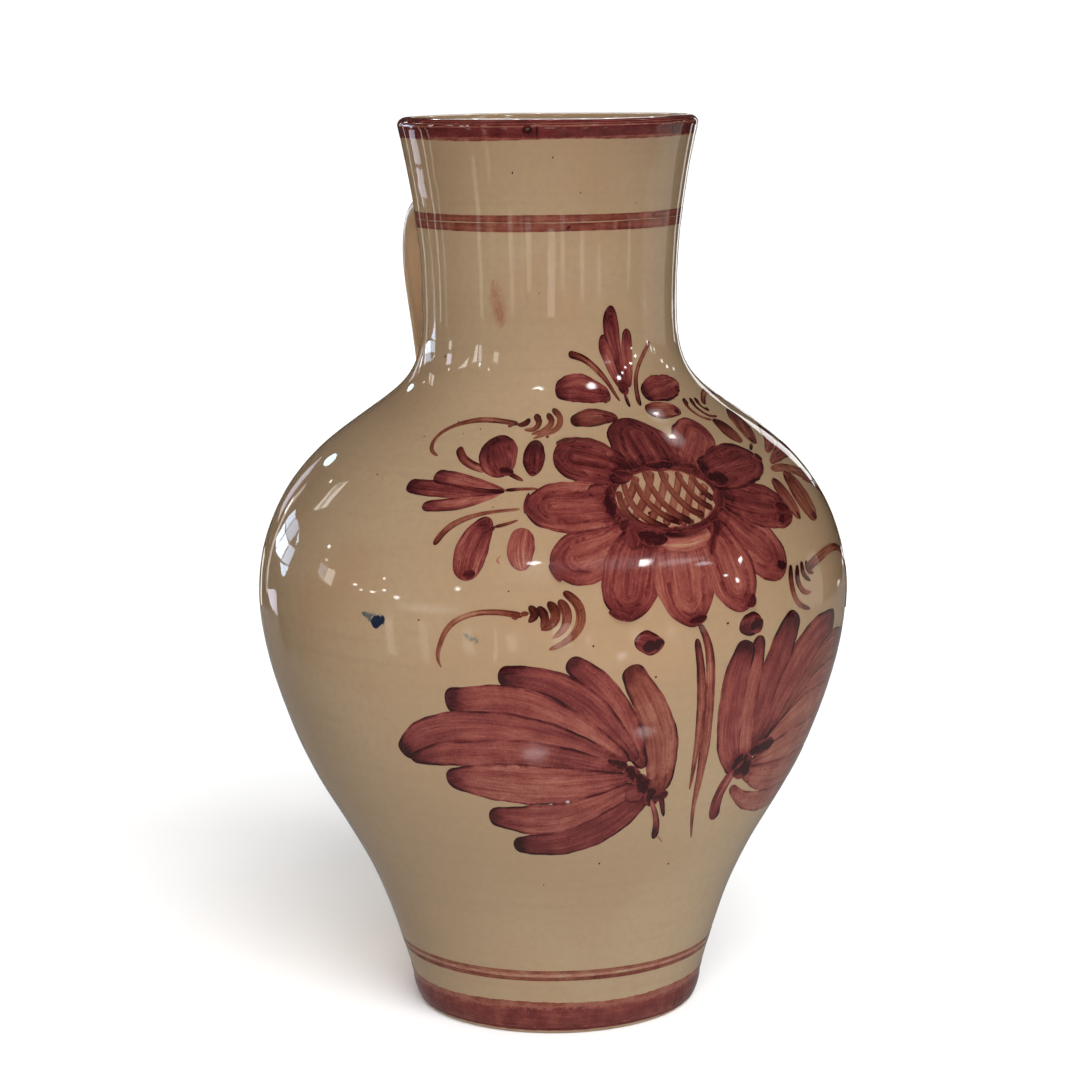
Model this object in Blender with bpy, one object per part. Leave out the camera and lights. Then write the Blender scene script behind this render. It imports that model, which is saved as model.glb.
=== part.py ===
"""One-handled glazed earthenware jug, 300 mm tall: a thrown clay body, a pulled strap handle luted on with two clay
joins, and the fired glaze coats that cover them. Metres, +Z up. The origin is at the centre of the foot, on the
axis of the body. The painted front faces -Y and the handle is at +Y."""

import math

import bmesh
import bpy
import numpy as np

MM = 0.001
TAU = 2 * math.pi

# Driving dimensions of the whole jug
HEIGHT = 300 * MM
SEGMENTS = 48
GAP = 0.3 * MM
FINE_STEPS = 400
BEND_WEIGHT = 45 * MM

# Stations of the glazed outside, as (radius, height), from the foot's side up to the rim
FOOT_SIDE = (49.4 * MM, 9 * MM)
BELLY_LOW = (54.4 * MM, 26 * MM)
BELLY_RISE = (64.6 * MM, 52 * MM)
BELLY_SWELL = (81.6 * MM, 82 * MM)
BELLY_UPPER = (93.6 * MM, 112 * MM)
BELLY_WIDEST = (99 * MM, 144 * MM)
SHOULDER_TURN = (93 * MM, 170 * MM)
SHOULDER = (80.5 * MM, 188 * MM)
NECK_ROOT = (61.5 * MM, 203 * MM)
NECK_HOLLOW = (46.2 * MM, 217 * MM)
NECK_WAIST = (42.4 * MM, 240 * MM)
NECK_FLARE = (44.6 * MM, 270 * MM)
RIM_EDGE = (49.6 * MM, 297.6 * MM)
OUTSIDE = (
    FOOT_SIDE,
    BELLY_LOW,
    BELLY_RISE,
    BELLY_SWELL,
    BELLY_UPPER,
    BELLY_WIDEST,
    SHOULDER_TURN,
    SHOULDER,
    NECK_ROOT,
    NECK_HOLLOW,
    NECK_WAIST,
    NECK_FLARE,
    RIM_EDGE,
)
OUTSIDE_STEPS = 20

# Foot: a turned ring with a recessed underside
FOOT_EDGE_RADIUS = 46.6 * MM
FOOT_GLAZE_LINE = 1.4 * MM
FOOT_RING_INNER = 37 * MM
FOOT_RECESS = 3 * MM
FOOT_BEVEL = 1 * MM

# Wall and floor
WALL_NECK = 5 * MM
WALL_BELLY = 6.4 * MM
FLOOR_TOP = 12 * MM
FLOOR_CORNER = 14 * MM
FLOOR_STEPS = 3
INSIDE_STEPS = 11
LIP_STEPS = 3

# Fired glaze
GLAZE = 0.5 * MM
CLAY_DEPTH = GLAZE + GAP

# Strap handle, centre line in the plane x = 0 as (distance from the axis, height)
STRAP_LINE = (
    (34 * MM, 260 * MM),
    (49 * MM, 266 * MM),
    (63 * MM, 269.3 * MM),
    (73.5 * MM, 265.5 * MM),
    (77.6 * MM, 254 * MM),
    (75.6 * MM, 238 * MM),
    (71.6 * MM, 221 * MM),
    (68.6 * MM, 205 * MM),
    (66 * MM, 188 * MM),
)
STRAP_WIDTH = 27 * MM
STRAP_THICKNESS = 11 * MM
STRAP_ROUNDNESS = 2.6
STRAP_SIDES = 14
STRAP_STEPS = 16
UPPER_FLARE = 1.16
LOWER_FLARE = 1.3
FLARE_REACH = 0.24
CUTTER_OVERRUN = 3 * MM

# Clay joins round the strap's ends: where each sits on the body, and its half sizes
UPPER_JOIN_HEIGHT = 263.5 * MM
UPPER_JOIN_HALF = (20.5 * MM, 12.5 * MM, 4.8 * MM)
LOWER_JOIN_HEIGHT = 198.5 * MM
LOWER_JOIN_HALF = (23 * MM, 15 * MM, 6 * MM)
JOIN_RAISE = 1 * MM
JOIN_RINGS = 8
JOIN_SIDES = 18

# Colours, as linear red, green and blue, with roughness
CLAY_COLOUR = (0.52, 0.31, 0.19)
CLAY_ROUGHNESS = 0.85
SLIP_COLOUR = (0.56, 0.35, 0.22)
GLAZE_COLOUR = (0.50, 0.40, 0.26)
GLAZE_ROUGHNESS = 0.12


def clear_scene():
    """Removes every object of the scene that the script starts in."""
    for obj in list(bpy.data.objects):
        bpy.data.objects.remove(obj, do_unlink=True)


def principled(name, colour, roughness):
    """A Principled material with one colour and roughness."""
    material = bpy.data.materials.new(name)
    material.use_nodes = True
    shader = material.node_tree.nodes["Principled BSDF"]
    shader.inputs["Base Color"].default_value = (*colour, 1)
    shader.inputs["Roughness"].default_value = roughness
    shader.inputs["Metallic"].default_value = 0
    return material


def spline(points, steps=FINE_STEPS):
    """Evenly spaced points along a natural cubic spline through the given points, by chord length."""
    points = np.array(points, float)
    chord = np.linalg.norm(np.diff(points, axis=0), axis=1)
    at = np.concatenate([[0], np.cumsum(chord)])
    count = len(points)
    matrix = np.eye(count)
    right = np.zeros_like(points)
    for i in range(1, count - 1):
        matrix[i, i - 1 : i + 2] = chord[i - 1], 2 * (chord[i - 1] + chord[i]), chord[i]
        right[i] = 6 * (
            (points[i + 1] - points[i]) / chord[i] - (points[i] - points[i - 1]) / chord[i - 1]
        )
    bend = np.linalg.solve(matrix, right)
    result = []
    for t in np.linspace(0, at[-1], steps):
        i = min(int(np.searchsorted(at, t, side="right")) - 1, count - 2)
        a, b, h = at[i + 1] - t, t - at[i], chord[i]
        result.append(
            (bend[i] * a**3 + bend[i + 1] * b**3) / (6 * h)
            + (points[i] / h - bend[i] * h / 6) * a
            + (points[i + 1] / h - bend[i + 1] * h / 6) * b
        )
    return np.array(result)


def spaced(path, count):
    """A fine path thinned to a count of points, which lie closer together where it bends more."""
    along = np.diff(path, axis=0)
    length = np.linalg.norm(along, axis=1)
    heading = np.unwrap(np.arctan2(along[:, 1], along[:, 0]))
    turn = np.abs(np.diff(heading, append=heading[-1]))
    weight = np.concatenate([[0], np.cumsum(length + BEND_WEIGHT * turn)])
    wanted = np.linspace(0, weight[-1], count)
    return np.stack([np.interp(wanted, weight, path[:, axis]) for axis in (0, 1)], axis=1)


def normals_of(path):
    """The left-hand normal at each point of a path, which for the outside run upwards points away from the wall."""
    along = np.gradient(path, axis=0)
    along /= np.linalg.norm(along, axis=1)[:, None]
    return np.stack([along[:, 1], -along[:, 0]], axis=1)


def foot_round():
    """The foot's rounded lower side, from the glaze line up to the foot's side, without its last point."""
    side, low = np.array(FOOT_SIDE), np.array((FOOT_EDGE_RADIUS, 0.0))
    points = []
    for share in (0.0, 0.35, 0.7):
        height = FOOT_GLAZE_LINE + share * (side[1] - FOOT_GLAZE_LINE)
        drop = 1 - height / side[1]
        points.append((side[0] - (side[0] - low[0]) * drop**2, height))
    return np.array(points)


def outside_path():
    """The glazed outside from the glaze line to the rim's outer edge."""
    return np.concatenate([foot_round(), spaced(spline(OUTSIDE), OUTSIDE_STEPS)])


def wall_at(height):
    """Thickness of the wall at a height, glaze included."""
    share = min(max((height - SHOULDER[1]) / (NECK_WAIST[1] - SHOULDER[1]), 0), 1)
    smooth = share * share * (3 - 2 * share)
    return WALL_BELLY + (WALL_NECK - WALL_BELLY) * smooth


def inside_path():
    """The glazed inside from the rim's inner edge down to the floor and along it to the axis."""
    outer = spline(OUTSIDE)
    away = normals_of(outer)
    inner = np.array([p - n * wall_at(p[1]) for p, n in zip(outer, away)])
    inner = spaced(inner[inner[:, 1] > FLOOR_TOP + FLOOR_CORNER][::-1], INSIDE_STEPS)
    start = inner[-1]
    corner = []
    for i in range(1, FLOOR_STEPS + 1):
        angle = i / FLOOR_STEPS * math.pi / 2
        corner.append(
            (
                start[0] - FLOOR_CORNER * (1 - math.cos(angle)),
                start[1] - (start[1] - FLOOR_TOP) * math.sin(angle),
            )
        )
    floor = [(corner[-1][0] * 0.5, FLOOR_TOP), (0.0, FLOOR_TOP)]
    return np.concatenate([inner, corner, floor])


def lip_path(outer_end, inner_start):
    """The rounded lip between the outside's last point and the inside's first one, without them."""
    middle = (outer_end + inner_start) / 2
    half = (outer_end - inner_start) / 2
    rise = HEIGHT - middle[1]
    points = []
    for i in range(1, LIP_STEPS + 1):
        angle = i / (LIP_STEPS + 1) * math.pi
        points.append(middle + half * math.cos(angle) + np.array((0.0, rise * math.sin(angle))))
    return np.array(points)


def glazed_path():
    """The whole glazed surface as one path: outside, lip, inside and floor."""
    outer, inner = outside_path(), inside_path()
    return np.concatenate([outer, lip_path(outer[-1], inner[0]), inner])


def sunk(path, depth):
    """The path moved into the wall by a depth. The end on the axis stays on it."""
    moved = path - normals_of(path) * depth
    if path[-1][0] == 0:
        moved[-1][0] = 0
    return moved


def turned(name, path, material=None):
    """A turned solid: the path of (radius, height) goes once round the axis, and its ends are joined to the axis."""
    mesh = bpy.data.meshes.new(name)
    bm = bmesh.new()
    verts = [bm.verts.new((r, 0, z)) for r, z in path]
    edges = [bm.edges.new(pair) for pair in zip(verts, verts[1:])]
    bmesh.ops.spin(
        bm, geom=verts + edges, axis=(0, 0, 1), cent=(0, 0, 0), angle=TAU, steps=SEGMENTS
    )
    bmesh.ops.remove_doubles(bm, verts=bm.verts, dist=1e-6)
    bmesh.ops.recalc_face_normals(bm, faces=bm.faces)
    bm.to_mesh(mesh)
    bm.free()
    return add_object(name, mesh, material)


def add_object(name, mesh, material=None):
    """Links a mesh as an object. One without a material is a cutter and stays out of the model."""
    obj = bpy.data.objects.new(name, mesh)
    bpy.context.scene.collection.objects.link(obj)
    if material is None:
        obj.hide_render = True
        obj.display_type = "WIRE"
    else:
        mesh.materials.append(material)
        mesh.shade_smooth()
        mesh.set_sharp_from_angle(angle=math.radians(40))
    return obj


def boolean(obj, other, operation="DIFFERENCE"):
    """Adds an exact Boolean of another object."""
    modifier = obj.modifiers.new(f"{operation.lower()} {other.name}", "BOOLEAN")
    modifier.operation = operation
    modifier.solver = "EXACT"
    modifier.object = other
    return modifier


def strap_section(width, thickness):
    """One cross-section of the strap, a rounded oblong across x."""
    points = []
    for i in range(STRAP_SIDES):
        angle = (i + 0.5) / STRAP_SIDES * TAU
        c, s = math.cos(angle), math.sin(angle)
        power = 2 / STRAP_ROUNDNESS
        points.append(
            (
                width / 2 * math.copysign(abs(c) ** power, c),
                thickness / 2 * math.copysign(abs(s) ** power, s),
            )
        )
    return points


def flare_at(share):
    """How much wider the strap is at a share of its length: it spreads where it meets the body."""
    upper = max(0.0, 1 - share / FLARE_REACH) ** 2
    lower = max(0.0, 1 - (1 - share) / FLARE_REACH) ** 2
    return 1 + (UPPER_FLARE - 1) * upper + (LOWER_FLARE - 1) * lower


def strap(name, grow, material=None):
    """The handle's strap, grown all round by a length. Both ends run on into the body, which cuts them, and the ends
    of a cutter run on further."""
    line = spline(STRAP_LINE, STRAP_STEPS)
    away = normals_of(line)
    if material is None:
        line[0] -= CUTTER_OVERRUN * np.array((-away[0][1], away[0][0]))
        line[-1] += CUTTER_OVERRUN * np.array((-away[-1][1], away[-1][0]))
    mesh = bpy.data.meshes.new(name)
    bm = bmesh.new()
    rings = []
    for i, (point, normal) in enumerate(zip(line, away)):
        flare = flare_at(i / (len(line) - 1))
        section = strap_section(STRAP_WIDTH * flare + 2 * grow, STRAP_THICKNESS * flare + 2 * grow)
        rings.append(
            [
                bm.verts.new((x, point[0] + t * normal[0], point[1] + t * normal[1]))
                for x, t in section
            ]
        )
    for low, high in zip(rings, rings[1:]):
        for i in range(STRAP_SIDES):
            j = (i + 1) % STRAP_SIDES
            bm.faces.new((low[i], low[j], high[j], high[i]))
    bm.faces.new(rings[0])
    bm.faces.new(rings[-1])
    bmesh.ops.recalc_face_normals(bm, faces=bm.faces)
    bm.to_mesh(mesh)
    bm.free()
    return add_object(name, mesh, material)


def on_outside(height, across, up, out):
    """The point a little way to the right, up and out from where the glazed outside has a height, seen from behind."""
    outer = spline(OUTSIDE)
    away = normals_of(outer)
    along = np.concatenate([[0], np.cumsum(np.linalg.norm(np.diff(outer, axis=0), axis=1))])
    seat = np.interp(height, outer[:, 1], along)
    place = [np.interp(seat + up, along, outer[:, axis]) for axis in (0, 1)]
    normal = [np.interp(seat + up, along, away[:, axis]) for axis in (0, 1)]
    radius = place[0] + out * normal[0]
    angle = across / np.interp(seat, along, outer[:, 0])
    return -radius * math.sin(angle), radius * math.cos(angle), place[1] + out * normal[1]


def join_pad(name, height, half, grow, material=None):
    """A flattened round pad of clay that lies along the body at a height, at the handle's side."""
    mesh = bpy.data.meshes.new(name)
    bm = bmesh.new()
    bmesh.ops.create_uvsphere(bm, u_segments=JOIN_SIDES, v_segments=JOIN_RINGS, radius=1)
    for vert in bm.verts:
        across, up, out = (co * (size + grow) for co, size in zip(vert.co, half))
        vert.co = on_outside(height, across, up, JOIN_RAISE + out)
    bm.to_mesh(mesh)
    bm.free()
    return add_object(name, mesh, material)


def filled(path):
    """A path up the outside, closed to the axis at both ends, for a cutter that fills the whole body."""
    return np.concatenate([[(0.0, path[0][1])], path, [(0.0, path[-1][1])]])


def make_body(path, material):
    """The thrown clay body with its neck, lip and turned foot ring."""
    clay = sunk(path, CLAY_DEPTH)
    foot = [
        (0.0, FOOT_RECESS),
        (FOOT_RING_INNER - FOOT_BEVEL, FOOT_RECESS),
        (FOOT_RING_INNER, 0.0),
        (FOOT_EDGE_RADIUS - FOOT_BEVEL, 0.0),
    ]
    return turned("clay_body", np.concatenate([foot, clay]), material)


def make_glaze_coat(path, material, pads):
    """The coat of glaze on the body: outside, over the lip and down to the floor, open where the handle is luted on."""
    under = sunk(path, GLAZE)[::-1]
    coat = turned("body_glaze", np.concatenate([under, path]), material)
    for pad in pads:
        boolean(coat, pad)
    return coat


def pads_of(grow, label):
    """Cutters for both joins, grown by a length."""
    return [
        join_pad(f"cut_{label}_upper", UPPER_JOIN_HEIGHT, UPPER_JOIN_HALF, grow),
        join_pad(f"cut_{label}_lower", LOWER_JOIN_HEIGHT, LOWER_JOIN_HALF, grow),
    ]


def make_joins(material, strap_cutter, clay_cutter):
    """The two clay joins, each a collar round the strap's end that lies on the body."""
    joins = [
        join_pad("upper_join", UPPER_JOIN_HEIGHT, UPPER_JOIN_HALF, 0, material),
        join_pad("lower_join", LOWER_JOIN_HEIGHT, LOWER_JOIN_HALF, 0, material),
    ]
    for join in joins:
        boolean(join, strap_cutter)
        boolean(join, clay_cutter)
    return joins


def make_handle_glaze(material, glaze_cutter):
    """The glaze on the handle and its joins, one open-ended sleeve that stops at the glaze of the body."""
    sleeve = strap("handle_glaze", GAP + GLAZE, material)
    for pad in pads_of(GAP + GLAZE, "sleeve"):
        boolean(sleeve, pad, "UNION")
    boolean(sleeve, strap("cut_sleeve_strap", GAP))
    for pad in pads_of(GAP, "hollow"):
        boolean(sleeve, pad)
    boolean(sleeve, glaze_cutter)
    return sleeve


def build():
    clear_scene()
    clay = principled("fired_clay", CLAY_COLOUR, CLAY_ROUGHNESS)
    strap_clay = principled("strap_clay", CLAY_COLOUR, CLAY_ROUGHNESS)
    slip = principled("slip_clay", SLIP_COLOUR, CLAY_ROUGHNESS)
    glaze = principled("cream_glaze", GLAZE_COLOUR, GLAZE_ROUGHNESS)
    strap_glaze = principled("strap_glaze", GLAZE_COLOUR, GLAZE_ROUGHNESS)

    path = glazed_path()
    outer = outside_path()
    clay_cutter = turned("cut_clay", filled(sunk(outer, CLAY_DEPTH - GAP)))
    glaze_cutter = turned("cut_glaze", filled(sunk(outer, -GAP)))
    strap_cutter = strap("cut_strap", GAP)

    make_body(path, clay)
    make_glaze_coat(path, glaze, pads_of(GAP, "coat"))
    handle = strap("handle", 0, strap_clay)
    boolean(handle, clay_cutter)
    make_joins(slip, strap_cutter, clay_cutter)
    make_handle_glaze(strap_glaze, glaze_cutter)


build()
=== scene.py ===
"""Looks of the one-handled glazed jug: the glazed wall with its throwing marks, the pulled handle, the bare
clay foot and the wine-coloured brush painting, under soft studio light. Metres, +Z up, painted front to -Y.

Places on the glaze are given as two lengths. One goes round the jug from the middle of the front towards
+X, as an arc at the belly's radius, and the other goes up along the outside from the foot's side."""

import math

import bpy
import numpy as np
from mathutils import Matrix, Vector


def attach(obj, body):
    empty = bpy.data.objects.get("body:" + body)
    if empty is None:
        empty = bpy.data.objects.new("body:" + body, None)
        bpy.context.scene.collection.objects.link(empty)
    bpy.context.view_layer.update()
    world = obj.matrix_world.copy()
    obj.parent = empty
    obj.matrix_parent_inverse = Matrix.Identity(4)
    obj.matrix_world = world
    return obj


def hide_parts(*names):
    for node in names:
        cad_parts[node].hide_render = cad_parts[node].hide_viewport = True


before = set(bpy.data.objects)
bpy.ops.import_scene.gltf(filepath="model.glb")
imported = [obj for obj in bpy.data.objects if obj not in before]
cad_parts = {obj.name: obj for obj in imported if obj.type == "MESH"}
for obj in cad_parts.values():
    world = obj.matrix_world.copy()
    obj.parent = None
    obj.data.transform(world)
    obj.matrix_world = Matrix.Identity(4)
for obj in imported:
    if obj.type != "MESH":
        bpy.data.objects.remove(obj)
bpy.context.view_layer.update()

MM = 0.001
TAU = 2 * math.pi
DEGREE = math.pi / 180

# Stations of the glazed outside, as (radius, height) in millimetres, from the foot's side up to the rim
OUTSIDE = (
    (49.4, 9), (54.4, 26), (64.6, 52), (81.6, 82), (93.6, 112), (99, 144), (93, 170), (80.5, 188),
    (61.5, 203), (46.2, 217), (42.4, 240), (44.6, 270), (49.6, 297.6),
)
HEIGHT = 300 * MM
BELLY_RADIUS = 99 * MM
SHOULDER_HEIGHT = 188 * MM
WAIST_HEIGHT = 240 * MM
FOOT_EDGE_RADIUS = 46.6 * MM
FOOT_GLAZE_LINE = 1.4 * MM
FOOT_RING_INNER = 37 * MM
WALL_NECK = 5 * MM
WALL_BELLY = 6.4 * MM
FLOOR_TOP = 12 * MM
FLOOR_CORNER = 14 * MM
BASE_JOINT = 4.5 * MM
GLAZE = 0.5 * MM
FINE = 0.2 * MM
WALL_POINTS = 1600
ARC_POINTS = 40
LIP_POINTS = 60

# How far the thrown wall strays from a true form, in millimetres, by the fingers' rings with their spacing
# in metres and by lobes round it. It fades out towards the foot
FINGER_RINGS = ((0.03, 0.021), (0.025, 0.0347))
LOBES = (0.08, 0.04)
TRUE_BELOW = 0.03

# Handle: centre line in the plane x = 0 as (distance from the axis, height) in millimetres
STRAP_LINE = (
    (34, 260), (49, 266), (63, 269.3), (73.5, 265.5), (77.6, 254), (75.6, 238), (71.6, 221), (68.6, 205),
    (66, 188),
)
STRAP_WIDTH = 27.6 * MM
STRAP_THICKNESS = 11.8 * MM
STRAP_ROUNDNESS = 2.5
UPPER_FLARE = 1.14
LOWER_FLARE = 1.26
FLARE_REACH = 0.24
FILLETS = {"upper": 6 * MM, "lower": 8 * MM}
THUMB_GROOVE = 0.55 * MM
GROOVE_WIDTH = 3.4 * MM
STRAP_SWAY = 0.35 * MM

# Camera, set from the outline of the jug: where it stands, how it looks and its field
CAMERA_AZIMUTH = -30 * DEGREE
CAMERA_DISTANCE = 961.9 * MM
CAMERA_HEIGHT = 318.9 * MM
CAMERA_PITCH = 9.49 * DEGREE
CAMERA_TURN = 0.242 * DEGREE
CAMERA_ROLL = 0.671 * DEGREE
CAMERA_LENS = 96.17
SENSOR = 36.0


# Curves and the jug's surface


def spline(points, steps):
    """Evenly spaced points along a natural cubic spline through the given points, by chord length."""
    points = np.array(points, float)
    chord = np.linalg.norm(np.diff(points[:, :2], axis=0), axis=1)
    at = np.concatenate([[0], np.cumsum(chord)])
    count = len(points)
    matrix = np.eye(count)
    right = np.zeros_like(points)
    for i in range(1, count - 1):
        matrix[i, i - 1 : i + 2] = chord[i - 1], 2 * (chord[i - 1] + chord[i]), chord[i]
        after = (points[i + 1] - points[i]) / chord[i]
        before = (points[i] - points[i - 1]) / chord[i - 1]
        right[i] = 6 * (after - before)
    bend = np.linalg.solve(matrix, right)
    t = np.linspace(0, at[-1], steps)
    i = np.minimum(np.searchsorted(at, t, side="right") - 1, count - 2)
    a, b, h = (at[i + 1] - t)[:, None], (t - at[i])[:, None], chord[i][:, None]
    curved = (bend[i] * a**3 + bend[i + 1] * b**3) / (6 * h)
    return curved + (points[i] / h - bend[i] * h / 6) * a + (points[i + 1] / h - bend[i + 1] * h / 6) * b


def lengths(path):
    """How far along a path each of its points lies."""
    return np.concatenate([[0], np.cumsum(np.linalg.norm(np.diff(path, axis=0), axis=1))])


def resampled(path, step):
    """The path again with points about one step apart."""
    along = lengths(path)
    at = np.linspace(0, along[-1], max(2, round(along[-1] / step) + 1))
    return np.stack([np.interp(at, along, axis) for axis in path.T], 1)


def normals_of(path):
    """The left-hand normal at each point, which for the outside run upwards points away from the wall."""
    along = np.gradient(path, axis=0)
    along /= np.linalg.norm(along, axis=1)[:, None]
    return np.stack([along[:, 1], -along[:, 0]], 1)


def smooth(share):
    share = np.clip(share, 0, 1)
    return share * share * (3 - 2 * share)


def glazed_path():
    """The glazed surface as one fine path, from the foot's glaze line up, over the lip, down inside and to
    the axis. Also says how far along it the foot's side and the rim's outer edge lie."""
    outer = spline(np.array(OUTSIDE) * MM, WALL_POINTS)
    side = outer[0]
    height = np.linspace(FOOT_GLAZE_LINE, side[1], ARC_POINTS)[:-1]
    drop = 1 - height / side[1]
    foot = np.stack([side[0] - (side[0] - FOOT_EDGE_RADIUS) * drop**2, height], 1)
    share = smooth((outer[:, 1] - SHOULDER_HEIGHT) / (WAIST_HEIGHT - SHOULDER_HEIGHT))
    wall = WALL_BELLY + (WALL_NECK - WALL_BELLY) * share
    inner = outer - normals_of(outer) * wall[:, None]
    inner = inner[inner[:, 1] > FLOOR_TOP + FLOOR_CORNER][::-1]
    middle, half = (outer[-1] + inner[0]) / 2, (outer[-1] - inner[0]) / 2
    turn = np.linspace(0, math.pi, LIP_POINTS)[1:-1]
    rise = np.stack([0 * turn, (HEIGHT - middle[1]) * np.sin(turn)], 1)
    lip = middle + half * np.cos(turn)[:, None] + rise
    start = inner[-1]
    turn = np.linspace(0, math.pi / 2, ARC_POINTS)[1:]
    corner_out = start[0] - FLOOR_CORNER * (1 - np.cos(turn))
    corner_up = start[1] - (start[1] - FLOOR_TOP) * np.sin(turn)
    corner = np.stack([corner_out, corner_up], 1)
    floor = np.array([(corner[-1][0] * 0.5, FLOOR_TOP), (0.0, FLOOR_TOP)])
    path = np.concatenate([foot, outer, lip, inner, corner, floor])
    at = lengths(path)
    return resampled(path, FINE), at[len(foot)], at[len(foot) + len(outer) - 1]


PATH, SIDE_AT, RIM_AT = glazed_path()
PATH_NORMALS = normals_of(PATH)
PATH_AT = lengths(PATH) - SIDE_AT
RIM_AT -= SIDE_AT


def unevenness(turn, up):
    """How far the thrown wall stands off its ideal form, in metres, fading out at the foot."""
    (ring_a, gap_a), (ring_b, gap_b) = FINGER_RINGS
    ring = ring_a * np.sin(TAU * up / gap_a + turn) + ring_b * np.sin(TAU * up / gap_b - 2 * turn + 1)
    lobe = LOBES[0] * np.sin(3 * turn + 0.6 + up * 14) + LOBES[1] * np.sin(5 * turn - up * 23)
    return (ring + lobe) * MM * smooth(up / TRUE_BELOW)



def surface(around, up, out=0.0):
    """Points on the glaze at a place around and up, lying a little way out of it."""
    turn = np.asarray(around) / BELLY_RADIUS
    radius, height = (np.interp(up, PATH_AT, PATH[:, k]) for k in (0, 1))
    away, rise = (np.interp(up, PATH_AT, PATH_NORMALS[:, k]) for k in (0, 1))
    out = out + unevenness(turn, up)
    radius = radius + out * away
    return np.stack([radius * np.sin(turn), -radius * np.cos(turn), height + out * rise], -1)


def place_of(points):
    """The reverse of surface for points near the outside: around, up and out."""
    points = np.asarray(points)
    radius = np.hypot(points[..., 0], points[..., 1])
    turn = np.arctan2(points[..., 0], -points[..., 1])
    outer = np.nonzero(PATH_AT <= RIM_AT)[0]
    gap = np.hypot(radius[..., None] - PATH[outer, 0], points[..., 2, None] - PATH[outer, 1])
    near = outer[np.argmin(gap, -1)]
    away = radius - PATH[near, 0], points[..., 2] - PATH[near, 1]
    out = away[0] * PATH_NORMALS[near, 0] + away[1] * PATH_NORMALS[near, 1]
    up = PATH_AT[near]
    return turn * BELLY_RADIUS, up, out - unevenness(turn, up)


# Meshes

JUG = []


def placed(name, data):
    """A new object in the scene."""
    made = bpy.data.objects.new(name, data)
    bpy.context.scene.collection.objects.link(made)
    return made


def new_mesh(name, verts, faces, material):
    mesh = bpy.data.meshes.new(name)
    mesh.from_pydata([tuple(v) for v in verts], [], faces)
    mesh.materials.append(material)
    return mesh


def add_mesh(name, verts, faces, material, sharp=40):
    """A smooth shaded piece that rides on the jug's one body."""
    mesh = new_mesh(name, verts, faces, material)
    mesh.shade_smooth()
    mesh.set_sharp_from_angle(angle=sharp * DEGREE)
    piece = placed(name, mesh)
    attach(piece, "root")
    JUG.append(piece)
    return piece


def grid_faces(rows, columns, closed=False, first=0):
    """The four-sided faces of a grid of points, whose rows may be closed rings."""
    faces = []
    for i in range(rows - 1):
        for j in range(columns if closed else columns - 1):
            k = (j + 1) % columns
            low, high = first + i * columns, first + (i + 1) * columns
            faces.append((low + j, low + k, high + k, high + j))
    return faces


def tube_faces(rows, columns):
    """The faces of closed rings of points, and of the two points after them that close the end rings."""
    faces = grid_faces(rows, columns, closed=True)
    centre, last = rows * columns, (rows - 1) * columns
    for j in range(columns):
        k = (j + 1) % columns
        faces += [(centre, k, j), (centre + 1, last + j, last + k)]
    return faces


def circle(radius, height, turns):
    """A level ring of points round the axis."""
    return np.stack([radius * np.sin(turns), -radius * np.cos(turns), np.full(len(turns), height)], 1)


def set_uv(mesh, corner_uv):
    """Gives the mesh the OFBake map, from the given place of each face corner."""
    layer = mesh.uv_layers.new(name="OFBake")
    layer.data.foreach_set("uv", np.asarray(corner_uv, np.float32).ravel())


def lathe(name, rows, segments, material, shape, uv_rows):
    """A closed turned piece. shape gives each row's ring of points, and the first and last rows close it."""
    turns = np.linspace(0, TAU, segments, endpoint=False) + math.pi
    verts = np.concatenate([shape(row, turns) for row in rows])
    verts = np.concatenate([verts, [verts[:segments].mean(0), verts[-segments:].mean(0)]])
    piece = add_mesh(name, verts, tube_faces(len(rows), segments), material)
    uv = []
    for i in range(len(rows) - 1):
        for j in range(segments):
            a, b = j / segments, (j + 1) / segments
            uv += [(a, uv_rows[i]), (b, uv_rows[i]), (b, uv_rows[i + 1]), (a, uv_rows[i + 1])]
    for j in range(segments):
        a, b = j / segments, (j + 1) / segments
        uv += [((a + b) / 2, 0.0), (b, uv_rows[0]), (a, uv_rows[0])]
        uv += [((a + b) / 2, 1.0), (a, uv_rows[-1]), (b, uv_rows[-1])]
    set_uv(piece.data, uv)
    return piece


# Node materials


def graph(name):
    """An empty node material and its tree."""
    material = bpy.data.materials.new(name)
    material.use_nodes = True
    material.node_tree.nodes.clear()
    return material, material.node_tree


def node(tree, kind, given=(), **settings):
    """Adds a node. given pairs each input's name or number with a value or another node's output."""
    made = tree.nodes.new("ShaderNode" + kind)
    for key, value in settings.items():
        setattr(made, key, value)
    for key, value in dict(given).items():
        if isinstance(value, bpy.types.NodeSocket):
            tree.links.new(value, made.inputs[key])
        else:
            made.inputs[key].default_value = value
    return made


def maths(tree, operation, a, b=0.0, clamp=False):
    return node(tree, "Math", {0: a, 1: b}, operation=operation, use_clamp=clamp).outputs[0]


def ranged(tree, value, low, high, to_low=0.0, to_high=1.0):
    """The value's place between low and high, eased and kept within the two results."""
    given = {"Value": value, "From Min": low, "From Max": high, "To Min": to_low, "To Max": to_high}
    return node(tree, "MapRange", given, interpolation_type="SMOOTHSTEP").outputs[0]


def noise(tree, at, scale, detail=3.0, roughness=0.5):
    given = {"Vector": at, "Scale": scale, "Detail": detail, "Roughness": roughness}
    return node(tree, "TexNoise", given).outputs["Fac"]


def mixed(tree, share, a, b, blend="MIX"):
    given = {0: share, 6: a, 7: b}
    return node(tree, "Mix", given, data_type="RGBA", blend_type=blend).outputs[2]


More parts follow.
